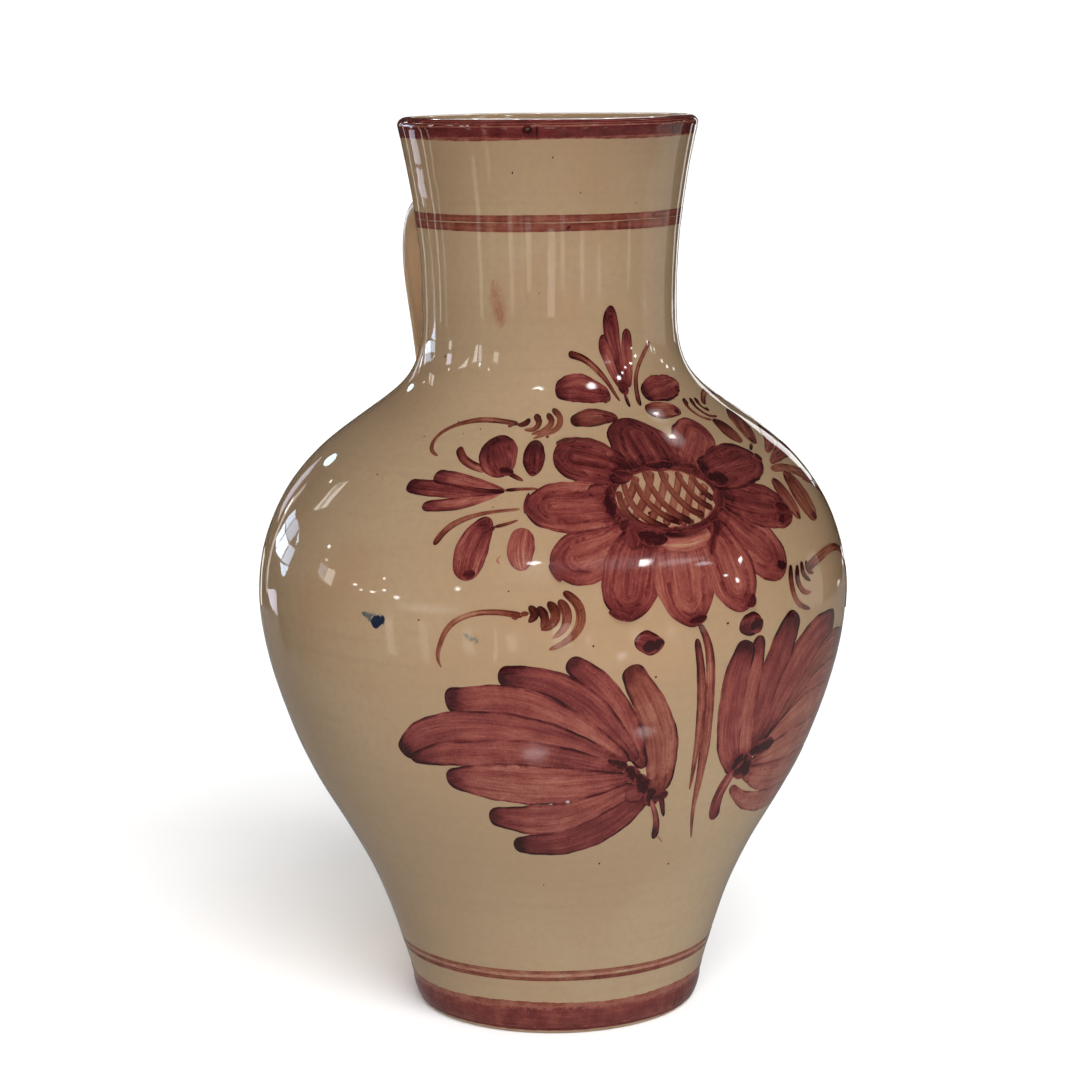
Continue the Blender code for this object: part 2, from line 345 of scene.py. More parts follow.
def ramp(tree, value, colours):
    made = node(tree, "ValToRGB", {0: value})
    elements = made.color_ramp.elements
    while len(elements) < len(STOPS):
        elements.new(1.0)
    for element, place, colour in zip(elements, STOPS, colours):
        element.position = place
        element.color = (*colour, 1)
    return made.outputs[0]


GLAZE_COLOUR = (0.505, 0.334, 0.194, 1)
GLAZE_PALE = (0.555, 0.388, 0.234, 1)
GLAZE_WARM = (0.535, 0.33, 0.187, 1)
GLAZE_GREY = (0.4, 0.27, 0.158, 1)
LOW_TINT = (1.0, 1.045, 1.08, 1)
PINHOLE = (0.1, 0.05, 0.03, 1)
GLAZE_IOR = 1.5
WAVE_DEPTH = 0.22 * MM
SAND_DEPTH = 0.3 * MM
LOW_FROM = 90 * MM
LOW_TO = 140 * MM


def glaze_colour(tree):
    """The cream glaze's colour by place: soft mottling, warm patches where the clay shows through, faint
    lines from the wheel and a few brown pinholes."""
    at = node(tree, "TexCoord").outputs["Object"]
    broad = ranged(tree, noise(tree, at, 9.0, 2.0), 0.38, 0.66)
    colour = mixed(tree, broad, GLAZE_COLOUR, GLAZE_PALE)
    elsewhere = node(tree, "Mapping", {0: at, 1: (3, 1, 2)}).outputs[0]
    warm = ranged(tree, noise(tree, elsewhere, 21.0, 4.0), 0.5, 0.72)
    colour = mixed(tree, maths(tree, "MULTIPLY", warm, 0.65), colour, GLAZE_WARM)
    wheel = node(tree, "Mapping", {0: at, 3: (14, 14, 330)}).outputs[0]
    lines = ranged(tree, noise(tree, wheel, 1.0, 3.0, 0.6), 0.45, 0.8)
    colour = mixed(tree, maths(tree, "MULTIPLY", lines, 0.2), colour, GLAZE_GREY)
    fine = ranged(tree, noise(tree, at, 420.0, 3.0, 0.65), 0.35, 0.75)
    colour = mixed(tree, maths(tree, "MULTIPLY", fine, 0.22), colour, GLAZE_GREY)
    low = ranged(tree, node(tree, "SeparateXYZ", {0: at}).outputs[2], LOW_FROM, LOW_TO, 1.0, 0.0)
    colour = mixed(tree, 1.0, colour, mixed(tree, low, (1, 1, 1, 1), LOW_TINT), "MULTIPLY")
    cells = node(tree, "TexVoronoi", {"Vector": at, "Scale": 70.0})
    chance = node(tree, "SeparateColor", {0: cells.outputs["Color"]}).outputs[0]
    rare = maths(tree, "GREATER_THAN", chance, 0.9)
    spot = ranged(tree, cells.outputs["Distance"], 0.02, 0.05, 1.0, 0.0)
    return mixed(tree, maths(tree, "MULTIPLY", maths(tree, "MULTIPLY", spot, rare), 0.8), colour, PINHOLE)


def glossy_finish(tree, colour):
    """The fired gloss over a colour: smooth, with the slow waves of a thrown wall and a fine grain."""
    at = node(tree, "TexCoord").outputs["Object"]
    rough = ranged(tree, noise(tree, at, 60.0, 3.0), 0.3, 0.75, 0.016, 0.045)
    wheel = node(tree, "Mapping", {0: at, 3: (6, 6, 90)}).outputs[0]
    rings = noise(tree, wheel, 1.0, 2.0)
    wave = noise(tree, at, 45.0, 2.0)
    grain = noise(tree, at, 700.0, 2.0)
    height = maths(tree, "ADD", wave, maths(tree, "MULTIPLY", rings, 0.6))
    height = maths(tree, "ADD", height, maths(tree, "MULTIPLY", grain, 0.02))
    bump = node(tree, "Bump", {"Height": height, "Strength": 1.0, "Distance": WAVE_DEPTH}).outputs[0]
    given = {"Base Color": colour, "Roughness": rough, "Normal": bump, "IOR": GLAZE_IOR}
    node(tree, "OutputMaterial", {0: node(tree, "BsdfPrincipled", given).outputs[0]})


def glaze_material():
    material, tree = graph("cream_glaze_fired")
    glossy_finish(tree, glaze_colour(tree))
    return material


# What is left of the glaze's light under a thickening wash of pigment: the wine of broad strokes, the browner
# tint of thin ones, and cobalt
PIGMENT_FULL = 5.0
STOPS = (0.0, 0.1, 0.2, 0.4, 0.6, 0.8, 1.0)
WINE = (
    (1.0, 1.0, 1.0), (0.95, 0.68, 0.73), (0.87, 0.44, 0.52), (0.61, 0.224, 0.3), (0.385, 0.108, 0.17),
    (0.2, 0.052, 0.09), (0.075, 0.022, 0.044),
)
UMBER = (
    (1.0, 1.0, 1.0), (0.9, 0.74, 0.74), (0.78, 0.52, 0.52), (0.54, 0.27, 0.26), (0.35, 0.13, 0.13),
    (0.18, 0.055, 0.06), (0.075, 0.022, 0.03),
)
COBALT = (
    (1.0, 1.0, 1.0), (0.775, 0.83, 0.9), (0.55, 0.66, 0.8), (0.26, 0.38, 0.62), (0.1, 0.18, 0.4),
    (0.05, 0.1, 0.28), (0.03, 0.06, 0.2),
)


def brush_input(tree, name):
    """The three numbers of one of a stroke's attributes."""
    given = node(tree, "Attribute", attribute_name=name).outputs["Vector"]
    return node(tree, "SeparateXYZ", {0: given}).outputs


def paint_material(name, pigments):
    """Brush strokes of pigment in the glaze. The wash is thick where the brush set down, in places along the
    edges and where strokes meet. The bristles leave streaks along the stroke, turning round a petal's tip."""
    material, tree = graph(name)
    along, share, half = brush_input(tree, "brush")
    length, seed, tone = brush_input(tree, "stroke")
    edge, tip, inner = brush_input(tree, "style")
    root, hue, ground = brush_input(tree, "wash")
    spread, soft, streaky = brush_input(tree, "bristle")

    def times(a, b):
        return maths(tree, "MULTIPLY", a, b)

    def less(a, b):
        return maths(tree, "SUBTRACT", a, b)

    def part(value, level, amount):
        return times(less(value, level), amount)

    def total(*values):
        result = values[0]
        for value in values[1:]:
            result = maths(tree, "ADD", result, value)
        return result

    def chosen(share, a, b):
        return total(a, times(share, less(b, a)))

    across = times(share, half)
    turned = maths(tree, "GREATER_THAN", inner, 0.05)
    turn = times(length, 0.3)
    back = maths(tree, "MAXIMUM", maths(tree, "DIVIDE", less(turn, along), turn), 0.0)
    bow = maths(tree, "SQRT", total(times(share, share), times(back, back)))
    swing = times(maths(tree, "ARCTAN2", share, back), times(turn, 0.6))
    on = times(maths(tree, "SIGN", share), maths(tree, "MAXIMUM", less(along, turn), 0.0))

    shift = times(seed, 7.3)
    lane_x = total(times(chosen(turned, share, bow), spread), shift)
    lane_y = chosen(turned, along, total(swing, on))
    lane = node(tree, "CombineXYZ", {0: lane_x, 1: times(lane_y, 0.05), 2: seed}).outputs[0]
    broad = noise(tree, lane, 0.4, 2.0)
    hairs = noise(tree, lane, 1.7, 3.0, 0.7)
    spot = node(tree, "CombineXYZ", {0: total(along, shift), 1: across, 2: seed}).outputs[0]
    pool = noise(tree, spot, 0.11, 3.0)
    blot = noise(tree, spot, 0.42, 2.0)
    grain = noise(tree, spot, 1.1, 3.0, 0.65)
    streaks = total(part(broad, 0.5, 4.4), part(hairs, 0.5, 5.0))
    body = total(tone, times(streaks, streaky), part(pool, 0.5, 2.4), part(grain, 0.5, 1.6))

    rim = less(half, maths(tree, "ABSOLUTE", across))
    pooled = times(ranged(tree, pool, 0.36, 0.62, 0.2, 1.7), edge)
    dark_rim = times(ranged(tree, rim, 0.0, 1.3, 1.0, 0.0), pooled)
    rough_end = total(along, part(broad, 0.5, 12.0), part(hairs, 0.5, 8.0))
    blunt = ranged(tree, rough_end, 2.5, 5.5, 0.6, 0.0)
    cap = times(total(blunt, ranged(tree, rough_end, 0.0, 14.0, 0.5, 0.0)), tip)
    rest = total(less(length, along), part(blot, 0.5, 14.0))
    base = times(ranged(tree, rest, 1.0, 9.5, 1.0, 0.0), root)

    wavy = total(bow, part(pool, 0.5, 0.3))
    near = maths(tree, "ABSOLUTE", less(wavy, 0.56))
    broken = times(inner, ranged(tree, blot, 0.4, 0.65, 0.0, 1.4))
    line = times(ranged(tree, near, 0.02, 0.1, 1.0, 0.0), broken)
    body = total(body, dark_rim, cap, base, line)

    depth = maths(tree, "DIVIDE", rim, times(half, maths(tree, "MAXIMUM", soft, 0.001)))
    uneven = times(total(part(blot, 0.5, 3.4), part(grain, 0.5, 1.0)), times(streaky, 1.6))
    ragged = total(depth, uneven)
    feather = ranged(tree, ragged, 0.0, 1.0)
    away = ranged(tree, depth, 0.0, 0.25)
    cover = maths(tree, "MAXIMUM", times(feather, away), maths(tree, "GREATER_THAN", 0.01, soft))
    body = maths(tree, "MAXIMUM", body, 0.12)
    body = chosen(cover, ground, body)
    amount = maths(tree, "DIVIDE", body, PIGMENT_FULL, clamp=True)
    tint = mixed(tree, hue, *[ramp(tree, amount, pigment) for pigment in pigments])
    glossy_finish(tree, mixed(tree, 1.0, glaze_colour(tree), tint, "MULTIPLY"))
    return material


CLAY_COLOUR = (0.5, 0.31, 0.19, 1)
CLAY_PALE = (0.58, 0.4, 0.27, 1)
CLAY_GRAIN = (0.26, 0.15, 0.09, 1)


def clay_material():
    material, tree = graph("bare_fired_clay")
    at = node(tree, "TexCoord").outputs["Object"]
    sand = noise(tree, at, 900.0, 4.0, 0.7)
    cloud = noise(tree, at, 40.0, 3.0)
    colour = mixed(tree, ranged(tree, cloud, 0.3, 0.7), CLAY_COLOUR, CLAY_PALE)
    colour = mixed(tree, ranged(tree, sand, 0.55, 0.75, 0.0, 0.6), colour, CLAY_GRAIN)
    bump = node(tree, "Bump", {"Height": sand, "Strength": 0.6, "Distance": SAND_DEPTH}).outputs[0]
    rough = ranged(tree, sand, 0.2, 0.8, 0.72, 0.92)
    shader = node(tree, "BsdfPrincipled", {"Base Color": colour, "Roughness": rough, "Normal": bump})
    node(tree, "OutputMaterial", {0: shader.outputs[0]})
    return material


# The wall, the foot and the handle

WALL_SEGMENTS = 300
OUTSIDE_STEP = 1.7 * MM
LIP_STEP = 0.7 * MM
INSIDE_STEP = 3.6 * MM
LIP_LENGTH = 9 * MM
FLOOR_HOLE = 4 * MM
SKIRT = (0.6 * MM, 0.4 * MM)

# The outside's share of the map, and the map's margins
OUTSIDE_SHARE = 0.6
LOW_MARGIN = 0.03
HIGH_MARGIN = 0.99


def make_wall(material):
    """The glazed wall and floor as one closed solid. Its underside is hidden by the clay foot."""
    low, top = PATH_AT[0], PATH_AT[-1]
    lip_end = RIM_AT + LIP_LENGTH
    up = np.concatenate(
        [
            np.linspace(low, RIM_AT, round((RIM_AT - low) / OUTSIDE_STEP), endpoint=False),
            np.linspace(RIM_AT, lip_end, round((lip_end - RIM_AT) / LIP_STEP), endpoint=False),
            np.linspace(lip_end, top - FLOOR_HOLE, round((top - lip_end) / INSIDE_STEP)),
        ]
    )
    edge = PATH[0][0] - SKIRT[0]
    rows = [(edge, BASE_JOINT), (edge, PATH[0][1] + SKIRT[1]), *up]

    def shape(row, turns):
        if isinstance(row, tuple):
            return circle(*row, turns)
        return surface(turns * BELLY_RADIUS, np.full(len(turns), row))

    uv_rows = [0.01, 0.02]
    for v in up:
        if v <= lip_end:
            uv_rows.append(LOW_MARGIN + (OUTSIDE_SHARE - LOW_MARGIN) * (v - low) / (lip_end - low))
        else:
            uv_rows.append(OUTSIDE_SHARE + (HIGH_MARGIN - OUTSIDE_SHARE) * (v - lip_end) / (top - lip_end))
    return lathe("glazed_wall", rows, WALL_SEGMENTS, material, shape, uv_rows)


FOOT_SEGMENTS = 180
# The clay foot's outline in millimetres, as (distance, height): out from the glaze's lower edge, out from
# the ring's inner side, and out from the axis in the recess
FOOT_OUTER = ((-0.3, 4.4), (-0.2, 2.2), (0, 1.5), (-0.15, 1.0), (-0.5, 0.4), (-1.0, 0.08), (-1.7, 0))
FOOT_INNER = ((1.2, 0), (0.5, 0.1), (0, 0.5), (-0.6, 1.6), (-1.4, 2.5), (-2.6, 2.9), (-4.5, 3))
FOOT_MIDDLE = ((20, 3.1), (6, 3))


def make_foot(material):
    """The bare clay under the glaze: the turned ring the jug stands on and the recess inside it."""
    rows = []
    parts = {FOOT_OUTER: PATH[0][0] - GLAZE, FOOT_INNER: FOOT_RING_INNER, FOOT_MIDDLE: 0}
    for outline, start in parts.items():
        rows += [(start + out * MM, up * MM) for out, up in outline]
    at = lengths(np.array(rows))
    uv_rows = list(0.02 + 0.96 * at / at[-1])

    def shape(row, turns):
        return circle(*row, turns)

    return lathe("clay_foot", rows[::-1], FOOT_SEGMENTS, material, shape, uv_rows)


STRAP_SIDES = 56
STRAP_ROWS = 96
FILLET_ROWS = 12
FILLET_LIFT = 0.06 * MM
FILLET_TUCK = 0.5 * MM
PLUG_DEPTH = 1.5 * MM


def strap_line():
    """The handle's centre line as fine (distance from the axis, height) points, and its outward normals."""
    line = resampled(spline(np.array(STRAP_LINE) * MM, 900), 0.25 * MM)
    return line, normals_of(line)


def strap_lane(line, away, angle):
    """One lengthwise line of the strap's skin, at an angle round its section."""
    at = lengths(line)
    share = at / at[-1]
    upper = np.maximum(0, 1 - share / FLARE_REACH) ** 2
    lower = np.maximum(0, 1 - (1 - share) / FLARE_REACH) ** 2
    flare = 1 + (UPPER_FLARE - 1) * upper + (LOWER_FLARE - 1) * lower
    power = 2 / STRAP_ROUNDNESS
    c, s = math.cos(angle), math.sin(angle)
    x = STRAP_WIDTH / 2 * math.copysign(abs(c) ** power, c) * flare
    t = STRAP_THICKNESS / 2 * math.copysign(abs(s) ** power, s) * flare
    groove = 0.0
    if s > 0:
        groove = -THUMB_GROOVE * np.exp(-((x / GROOVE_WIDTH) ** 2)) * np.sin(np.clip(share, 0, 1) * math.pi)
    t = t + groove * abs(s)
    sway = STRAP_SWAY * np.sin(share * 9 + 0.5)
    return np.stack([x + sway, line[:, 0] + t * away[:, 0], line[:, 1] + t * away[:, 1]], 1)


def fillet(place, hit, reach, centre):
    """A smooth flare from a point above the glaze to one lying on it, through the corner between them."""
    turn = TAU * BELLY_RADIUS
    start = centre[0] - turn / 2
    place, hit = ([(p[0] - start) % turn + start, *p[1:]] for p in (place, hit))
    outward = np.array(hit[:2]) - centre
    radius = np.interp(hit[1], PATH_AT, PATH[:, 0]) / BELLY_RADIUS
    outward /= np.hypot(outward[0] * radius, outward[1])
    corner = np.array([*hit[:2], 0.0])
    end = np.array([*(hit[:2] + outward * reach), FILLET_LIFT])
    tuck = np.array([*(end[:2] + outward * FILLET_TUCK), -FILLET_TUCK])
    b = np.linspace(0, 1, FILLET_ROWS + 1)[:, None]
    return np.concatenate([(1 - b) ** 2 * np.array(place) + 2 * b * (1 - b) * corner + b**2 * end, [tuck]])


def make_handle(material):
    """The glazed strap handle with its two luted ends run smoothly into the wall."""
    line, away = strap_line()
    angles = (np.arange(STRAP_SIDES) + 0.5) / STRAP_SIDES * TAU
    lanes = [strap_lane(line, away, angle) for angle in angles]
    places = [place_of(lane) for lane in lanes]
    core = place_of(np.stack([0 * line[:, 0], line[:, 0], line[:, 1]], 1))
    middle = len(line) // 2
    spans = {"upper": range(middle, -1, -1), "lower": range(middle, len(line))}
    ends = {}
    for name, span in spans.items():
        heights = FILLETS[name], 0
        hits = [[next(i for i in span if out[i] <= height) for height in heights] for *_, out in places]
        inside = next(i for i in span if core[2][i] <= 0)
        ends[name] = hits, np.array([core[0][inside], core[1][inside]])
    columns = []
    for k, lane in enumerate(lanes):
        start, stop = (ends[name][0][k][0] for name in ends)
        at = np.linspace(start, stop, STRAP_ROWS)
        column = [np.stack([np.interp(at, np.arange(len(lane)), lane[:, axis]) for axis in range(3)], 1)]
        for name, (hits, centre) in ends.items():
            place, hit = ([axis[i] for axis in places[k]] for i in hits[k])
            curve = fillet(place, hit, FILLETS[name], centre)
            points = surface(curve[:, 0], curve[:, 1], curve[:, 2])[1:]
            column = [points[::-1], *column] if name == "upper" else [*column, points]
        columns.append(np.concatenate(column))
    verts = np.stack(columns, 1)
    plugs = [surface(*centre[:, None], -PLUG_DEPTH)[0] for _, centre in ends.values()]
    flat = np.concatenate([verts.reshape(-1, 3), plugs])
    faces = tube_faces(len(verts), STRAP_SIDES)
    return add_mesh("glazed_handle", flat, faces, material, sharp=50)


# Brush strokes

PAINT_LIFT = 0.05 * MM
LAYER_LIFT = 0.012 * MM
PAINT_DEPTH = 0.2 * MM
STROKE_STEP = 1.3
COLUMN_STEP = 0.8
PAINT_SHIFT = (0.45, -0.35)
SEED_STEP = 0.37
PATH_STEPS = 400
END_POINTS = 8
LEAST_HALF = 0.2
LEAST_END = 0.06
MAP_GAP = 0.012
CAP_SHARE = 0.45
UNSTEADY = 0.05
FEWEST_COLUMNS = 3
MOST_COLUMNS = 25


def end_shape(at, cap, power):
    """How much of its width a stroke has at a distance from its end, rounded over the cap's length."""
    x = np.clip(1 - at / max(cap, 1e-6), 0, 1)
    return np.maximum((1 - x**power) ** (1 / power), LEAST_END)


def stations(length, caps):
    """Distances along a stroke, close together where its ends are rounded."""
    first, last = (min(cap, length * CAP_SHARE) for cap in caps)
    turn = np.linspace(0, math.pi / 2, END_POINTS)
    start = first * (1 - np.cos(turn))
    stop = length - last * (1 - np.cos(turn[::-1]))
    count = max(2, round((stop[0] - start[-1]) / STROKE_STEP) + 1)
    return np.concatenate([start[:-1], np.linspace(start[-1], stop[0], count), stop[1:]])


DEFAULTS = {
    **{"tone": 2.2, "edge": 0.9, "tip": 1.5, "inner": 0.0, "root": 0.0, "hue": 0.0, "ground": 0.0},
    **{"soft": 0.0, "streaky": 1.0, "caps": (3.0, 3.0), "square": 2.3, "wobble": 1.0, "step": COLUMN_STEP},
}


def waver(s, slow, fast):
    """An unsteady hand's slow and quick swings along a stroke, each given as its rate and its start."""
    return 0.5 * np.sin(s * slow[0] + slow[1]) + 0.3 * np.sin(s * fast[0] + fast[1])


def stroke(points, seed, **settings):
    """One brush stroke through (around, up, half width) points in millimetres, from where the brush set down.

    tone is how thick the wash is, with more of it along the edge, at the tip where the brush set down, at the
    root where it lifted, and on an inner line. hue turns wine to umber. soft feathers the edge out to the
    ground's thickness, and caps are the lengths of the rounded ends."""
    own = {**DEFAULTS, **settings}
    path = spline(points, PATH_STEPS)
    path[:, 2] = np.maximum(path[:, 2], LEAST_HALF)
    at = lengths(path[:, :2])
    length = at[-1]
    s = stations(length, own["caps"])
    centre = np.stack([np.interp(s, at, path[:, k]) for k in (0, 1)], 1)
    full = np.interp(s, at, path[:, 2])
    power = own["square"]
    half = full * end_shape(s, own["caps"][0], power) * end_shape(length - s, own["caps"][1], power)
    heading = np.gradient(path[:, :2], axis=0)
    heading /= np.linalg.norm(heading, axis=1)[:, None]
    heading = np.stack([np.interp(s, at, heading[:, k]) for k in (0, 1)], 1)
    side = np.stack([-heading[:, 1], heading[:, 0]], 1)
    left = waver(s, (0.42, seed * 5), (1.1, seed * 11))
    right = waver(s, (0.47, seed * 7 + 2), (0.97, seed * 3))
    columns = int(np.clip(round(half.max() * 2 / own["step"]), FEWEST_COLUMNS, MOST_COLUMNS))
    share = np.linspace(-1, 1, columns)[None]
    grow = np.where(share > 0, left[:, None], right[:, None]) * own["wobble"] * UNSTEADY * np.abs(share)
    across = half[:, None] * share * (1 + grow)
    spread = 0.5 * half + 0.5 * full.max()
    spread = np.repeat(spread[:, None], columns, 1)
    return {
        "place": (centre[:, None] + side[:, None] * across[..., None] + PAINT_SHIFT) * MM,
        "brush": np.stack(np.broadcast_arrays(s[:, None], share, half[:, None]), -1),
        "stroke": (length, seed, own["tone"]),
        "style": (own["edge"], own["tip"], own["inner"]),
        "wash": (own["root"], own["hue"], own["ground"]),
        "bristle": np.stack(np.broadcast_arrays(spread, own["soft"], own["streaky"]), -1),
    }


def shelves(sizes, gap):
    """Places for boxes of these sizes on shelves in a square, as lower corners, with the square's side."""
    area = sum((w + gap) * (h + gap) for w, h in sizes)
    side = max(max(w for w, _ in sizes) + 2 * gap, math.sqrt(area) * 1.02)
    order = sorted(range(len(sizes)), key=lambda i: -sizes[i][1])
    while True:
        corners, x, y, shelf = {}, gap, gap, 0.0
        for i in order:
            w, h = sizes[i]
            if x + w + gap > side:
                x, y, shelf = gap, y + shelf + gap, 0.0
            corners[i] = (x, y)
            x, shelf = x + w + gap, max(shelf, h)
        if y + shelf + gap <= side:
            return [corners[i] for i in range(len(sizes))], side
        side *= 1.03


def paint(name, pulls, material, layer=0, **shared):
    """A piece of brushwork from rows of points and settings, as thin closed layers of pigment in the glaze,
    later strokes over earlier ones."""
    strokes = []
    for i, (points, own) in enumerate(pulls):
        strokes.append(stroke(points, SEED_STEP * (i + 1), **{**shared, **own}))
    verts, faces, uv = [], [], []
    values = {"brush": [], "stroke": [], "style": [], "wash": [], "bristle": []}
    sizes = [s["brush"][..., (0, 2)].max((0, 1)) * (1, 2) for s in strokes]
    corners, side = shelves(sizes, MAP_GAP * math.sqrt(sum(w * h for w, h in sizes)))
    first = 0
    for order, (one, corner) in enumerate(zip(strokes, corners)):
        rows, columns = one["brush"].shape[:2]
        count = rows * columns
        for out in (PAINT_LIFT + (layer + order) * LAYER_LIFT, -PAINT_DEPTH):
            verts.append(surface(one["place"][..., 0], one["place"][..., 1], out).reshape(-1, 3))
        quads = grid_faces(rows, columns, first=first)
        under = [tuple(v + count for v in q[::-1]) for q in quads]
        grid = first + np.arange(count).reshape(rows, columns)
        outline = [*grid[0], *grid[1:, -1], *grid[-1, -2::-1], *grid[-2:0:-1, 0]]
        pairs = zip(outline, outline[1:] + outline[:1])
        walls = [tuple(int(v) for v in (b, a, a + count, b + count)) for a, b in pairs]
        faces += quads + under + walls
        along, share, half = one["brush"].reshape(-1, 3).T
        place = (np.stack([along, share * half + half.max()], 1) + corner) / side
        uv += [place[(v - first) % count] for f in quads + under + walls for v in f]
        for key, parts in values.items():
            part = np.reshape(one[key], (-1, 3))
            parts.append(np.tile(part, (2 * count // len(part), 1)))
        first += 2 * count
    piece = add_mesh(name, np.concatenate(verts), faces, material)
    for key, parts in values.items():
        attribute = piece.data.attributes.new(key, "FLOAT_VECTOR", "POINT")
        attribute.data.foreach_set("vector", np.concatenate(parts).astype(np.float32).ravel())
    set_uv(piece.data, uv)


def pull(*points, like=(), **own):
    """One pull of the brush as a row: its (around, up, half width) points in millimetres and its settings."""
    return list(points), {**dict(like), **own}


BLUNT = {"edge": 0.0, "tip": 0.0, "square": 2.0}
DAB = {**BLUNT, "tone": 5.2, "wobble": 3.0, "soft": 0.6, "ground": 3.0, "streaky": 0.5}
DAB_END = 0.42


def dab(around, up, long, wide, angle=0.0, **own):
    """A short thick touch of the brush as a row, by its middle, length, width and the way it points."""
    c, s = math.cos(angle * DEGREE) * long / 2, math.sin(angle * DEGREE) * long / 2
    end = wide * DAB_END
    points = [(around - c, up - s, end), (around, up, wide / 2), (around + c, up + s, end)]
    return points, {**DAB, "caps": (long * DAB_END, long * DAB_END), **own}


def spot(around, up, size, **own):
    """A tiny round touch that lies on the bare glaze."""
    return dab(around, up, size, size * 0.85, 20, **{"ground": 0.0, "soft": 0.25, **own})


FLOWER_PETALS = [
    pull((8, 184, 4.6), (19, 173, 8.2), (26.5, 165.5, 8.8), (31.5, 158, 6), tone=2.3),
    pull((14, 188, 5), (28, 183.4, 8.2), (38, 180.5, 7.8), (48, 177, 4), tone=3.2),
    pull((4, 199, 7), (16.4, 207.6, 9.6), (25.4, 212.9, 8.4), (34.4, 216.2, 5), tone=2.6),
    pull((12, 195, 6), (30, 198, 8.8), (41, 198.8, 7.6), (51, 198, 4), tone=3.4),
    pull((-8.5, 198, 10), (-8.9, 208, 15.8), (-9.2, 216, 14.8), (-8.4, 223.4, 9), tone=3.3),
    pull((-22, 199, 7), (-32.5, 203.8, 9.8), (-41.5, 206, 9.8), (-51.5, 207.3, 6.5), tone=3.2),
    pull((-24, 179, 5.4), (-35.5, 172.8, 8.6), (-43.5, 170.3, 8.8), (-53, 168.1, 5.5), tone=2.2),
    pull((-27, 187.4, 6), (-42, 187.2, 9.2), (-52, 187.3, 8.4), (-62, 187.3, 5), tone=2.5),
    pull((-21, 177, 6), (-26.5, 166, 9.4), (-28.3, 158, 8.8), (-29.5, 150, 5), tone=2.7),
    pull((-9, 178, 7), (-9, 166, 10.4), (-8.5, 156, 9.4), (-6.5, 146.8, 4), tone=2.2),
    pull((3, 179, 5), (7.6, 167, 8.8), (10, 158, 8.8), (12, 149.5, 5), tone=2.2),
]


def oval(half_long, half_tall, least):
    """Points of one broad stroke that fills an oval round the flower's middle."""
    x, y = CENTRE
    places = (-1, -0.8, -0.4, 0, 0.4, 0.8, 1)
    return [(x + half_long * k, y, half_tall * math.sqrt(max(1 - k * k, least))) for k in places]


def flower_petals():
    """A wash round the middle, then the petals, each painted from its tip inwards, and two small touches."""
    wash = oval(CENTRE_HALF[0] + WASH_MARGIN[0], CENTRE_HALF[1] + WASH_MARGIN[1], 0.2)
    rows = [pull(*wash, like=BLUNT, tone=3.4, streaky=0.3)]
    shared = {"tip": 0.7, "inner": 0.8, "root": 1.6, "caps": (7, 3)}
    rows += [(points[::-1], {**shared, **own}) for points, own in FLOWER_PETALS]
    rows.append(pull((-17, 174.6, 2.4), (-7, 173.6, 3.6), (3.5, 175.4, 2.6), tone=1.5, tip=0.2, edge=1.2))
    rows.append(dab(-35.3, 192.6, 7, 5, 10, tone=3.0, edge=1.6, soft=0.0))
    return rows


# The flower's oval middle. Dark lines bow down across it to the right, over fainter ones that lean back
CENTRE = (-8.7, 188.7)
CENTRE_HALF = (20.4, 10.9)
CROSS_LEAN = 0.72
CROSS_STEP = 6.3
CROSS_START = 14.8
CROSS_LINES = 7
CROSS_HALF = 1.45
BOWED_HALF = 1.25
WASH_MARGIN = (7, 6)
BOWED_LINES = [
    [(-27, 192), (-27, 187.5), (-25.4, 183.6), (-22.4, 180.4), (-18, 178.3)],
    [(-24.4, 195), (-24, 189.5), (-22.4, 185.6), (-18.6, 181.4), (-14.6, 179), (-11.8, 177.5)],
    [(-20, 197), (-19, 191.5), (-16.8, 187), (-14, 183.8), (-10.4, 181.3), (-6.6, 179.7)],
    [(-14.5, 199), (-14.2, 194), (-12.8, 189.6), (-10.6, 185.8), (-7, 182.2), (-2.6, 179.6)],
    [(-7.4, 199.4), (-7.4, 195), (-6, 190.2), (-3.4, 186), (-0.4, 183), (3.3, 181.3)],
    [(-0.4, 197.8), (-0.1, 193.6), (1.8, 189), (4.4, 185.6), (8, 183.3)],
    [(5.2, 196.4), (6, 192.4), (7.8, 188.8), (10, 186.2)],
]


def flower_centre():
    """The pale ground of the flower's middle and the lines that cross on it."""
    x, y = CENTRE
    a, b = CENTRE_HALF
    plain = {"tone": 0.12, "edge": 1.6, "tip": 0.0, "caps": (2, 2), "square": 2.0, "wobble": 0.3}
    rows = [pull(*oval(a, b, 0.16), like=plain, streaky=0.04)]
    for i in range(CROSS_LINES):
        at = x - CROSS_START + CROSS_STEP * i
        line = []
        for up in np.linspace(y - b, y + b, 30):
            around = at + CROSS_LEAN * (up - 190) + 0.5 * math.sin(up * 0.4 + i)
            if math.hypot((around - x) / (a - 0.6), (up - y) / (b - 0.6)) < 1:
                line.append((around, up, CROSS_HALF))
        if len(line) > 4:
            rows.append(pull(line[0], line[len(line) // 2], line[-1], tone=1.9, hue=0.7, edge=0.6, tip=0.2))
    for line in BOWED_LINES:
        points = [(*place, BOWED_HALF) for place in line[::-1]]
        rows.append(pull(*points, tone=2.7, hue=0.7, edge=0.7, tip=1.4))
    return rows


CENTRE_SPOTS = (
    (-11.7, 177.3), (-9.3, 177.6), (-3.8, 177.9), (-7, 179.7), (-2.5, 179.5), (1.4, 178.6), (3, 179.2),
)


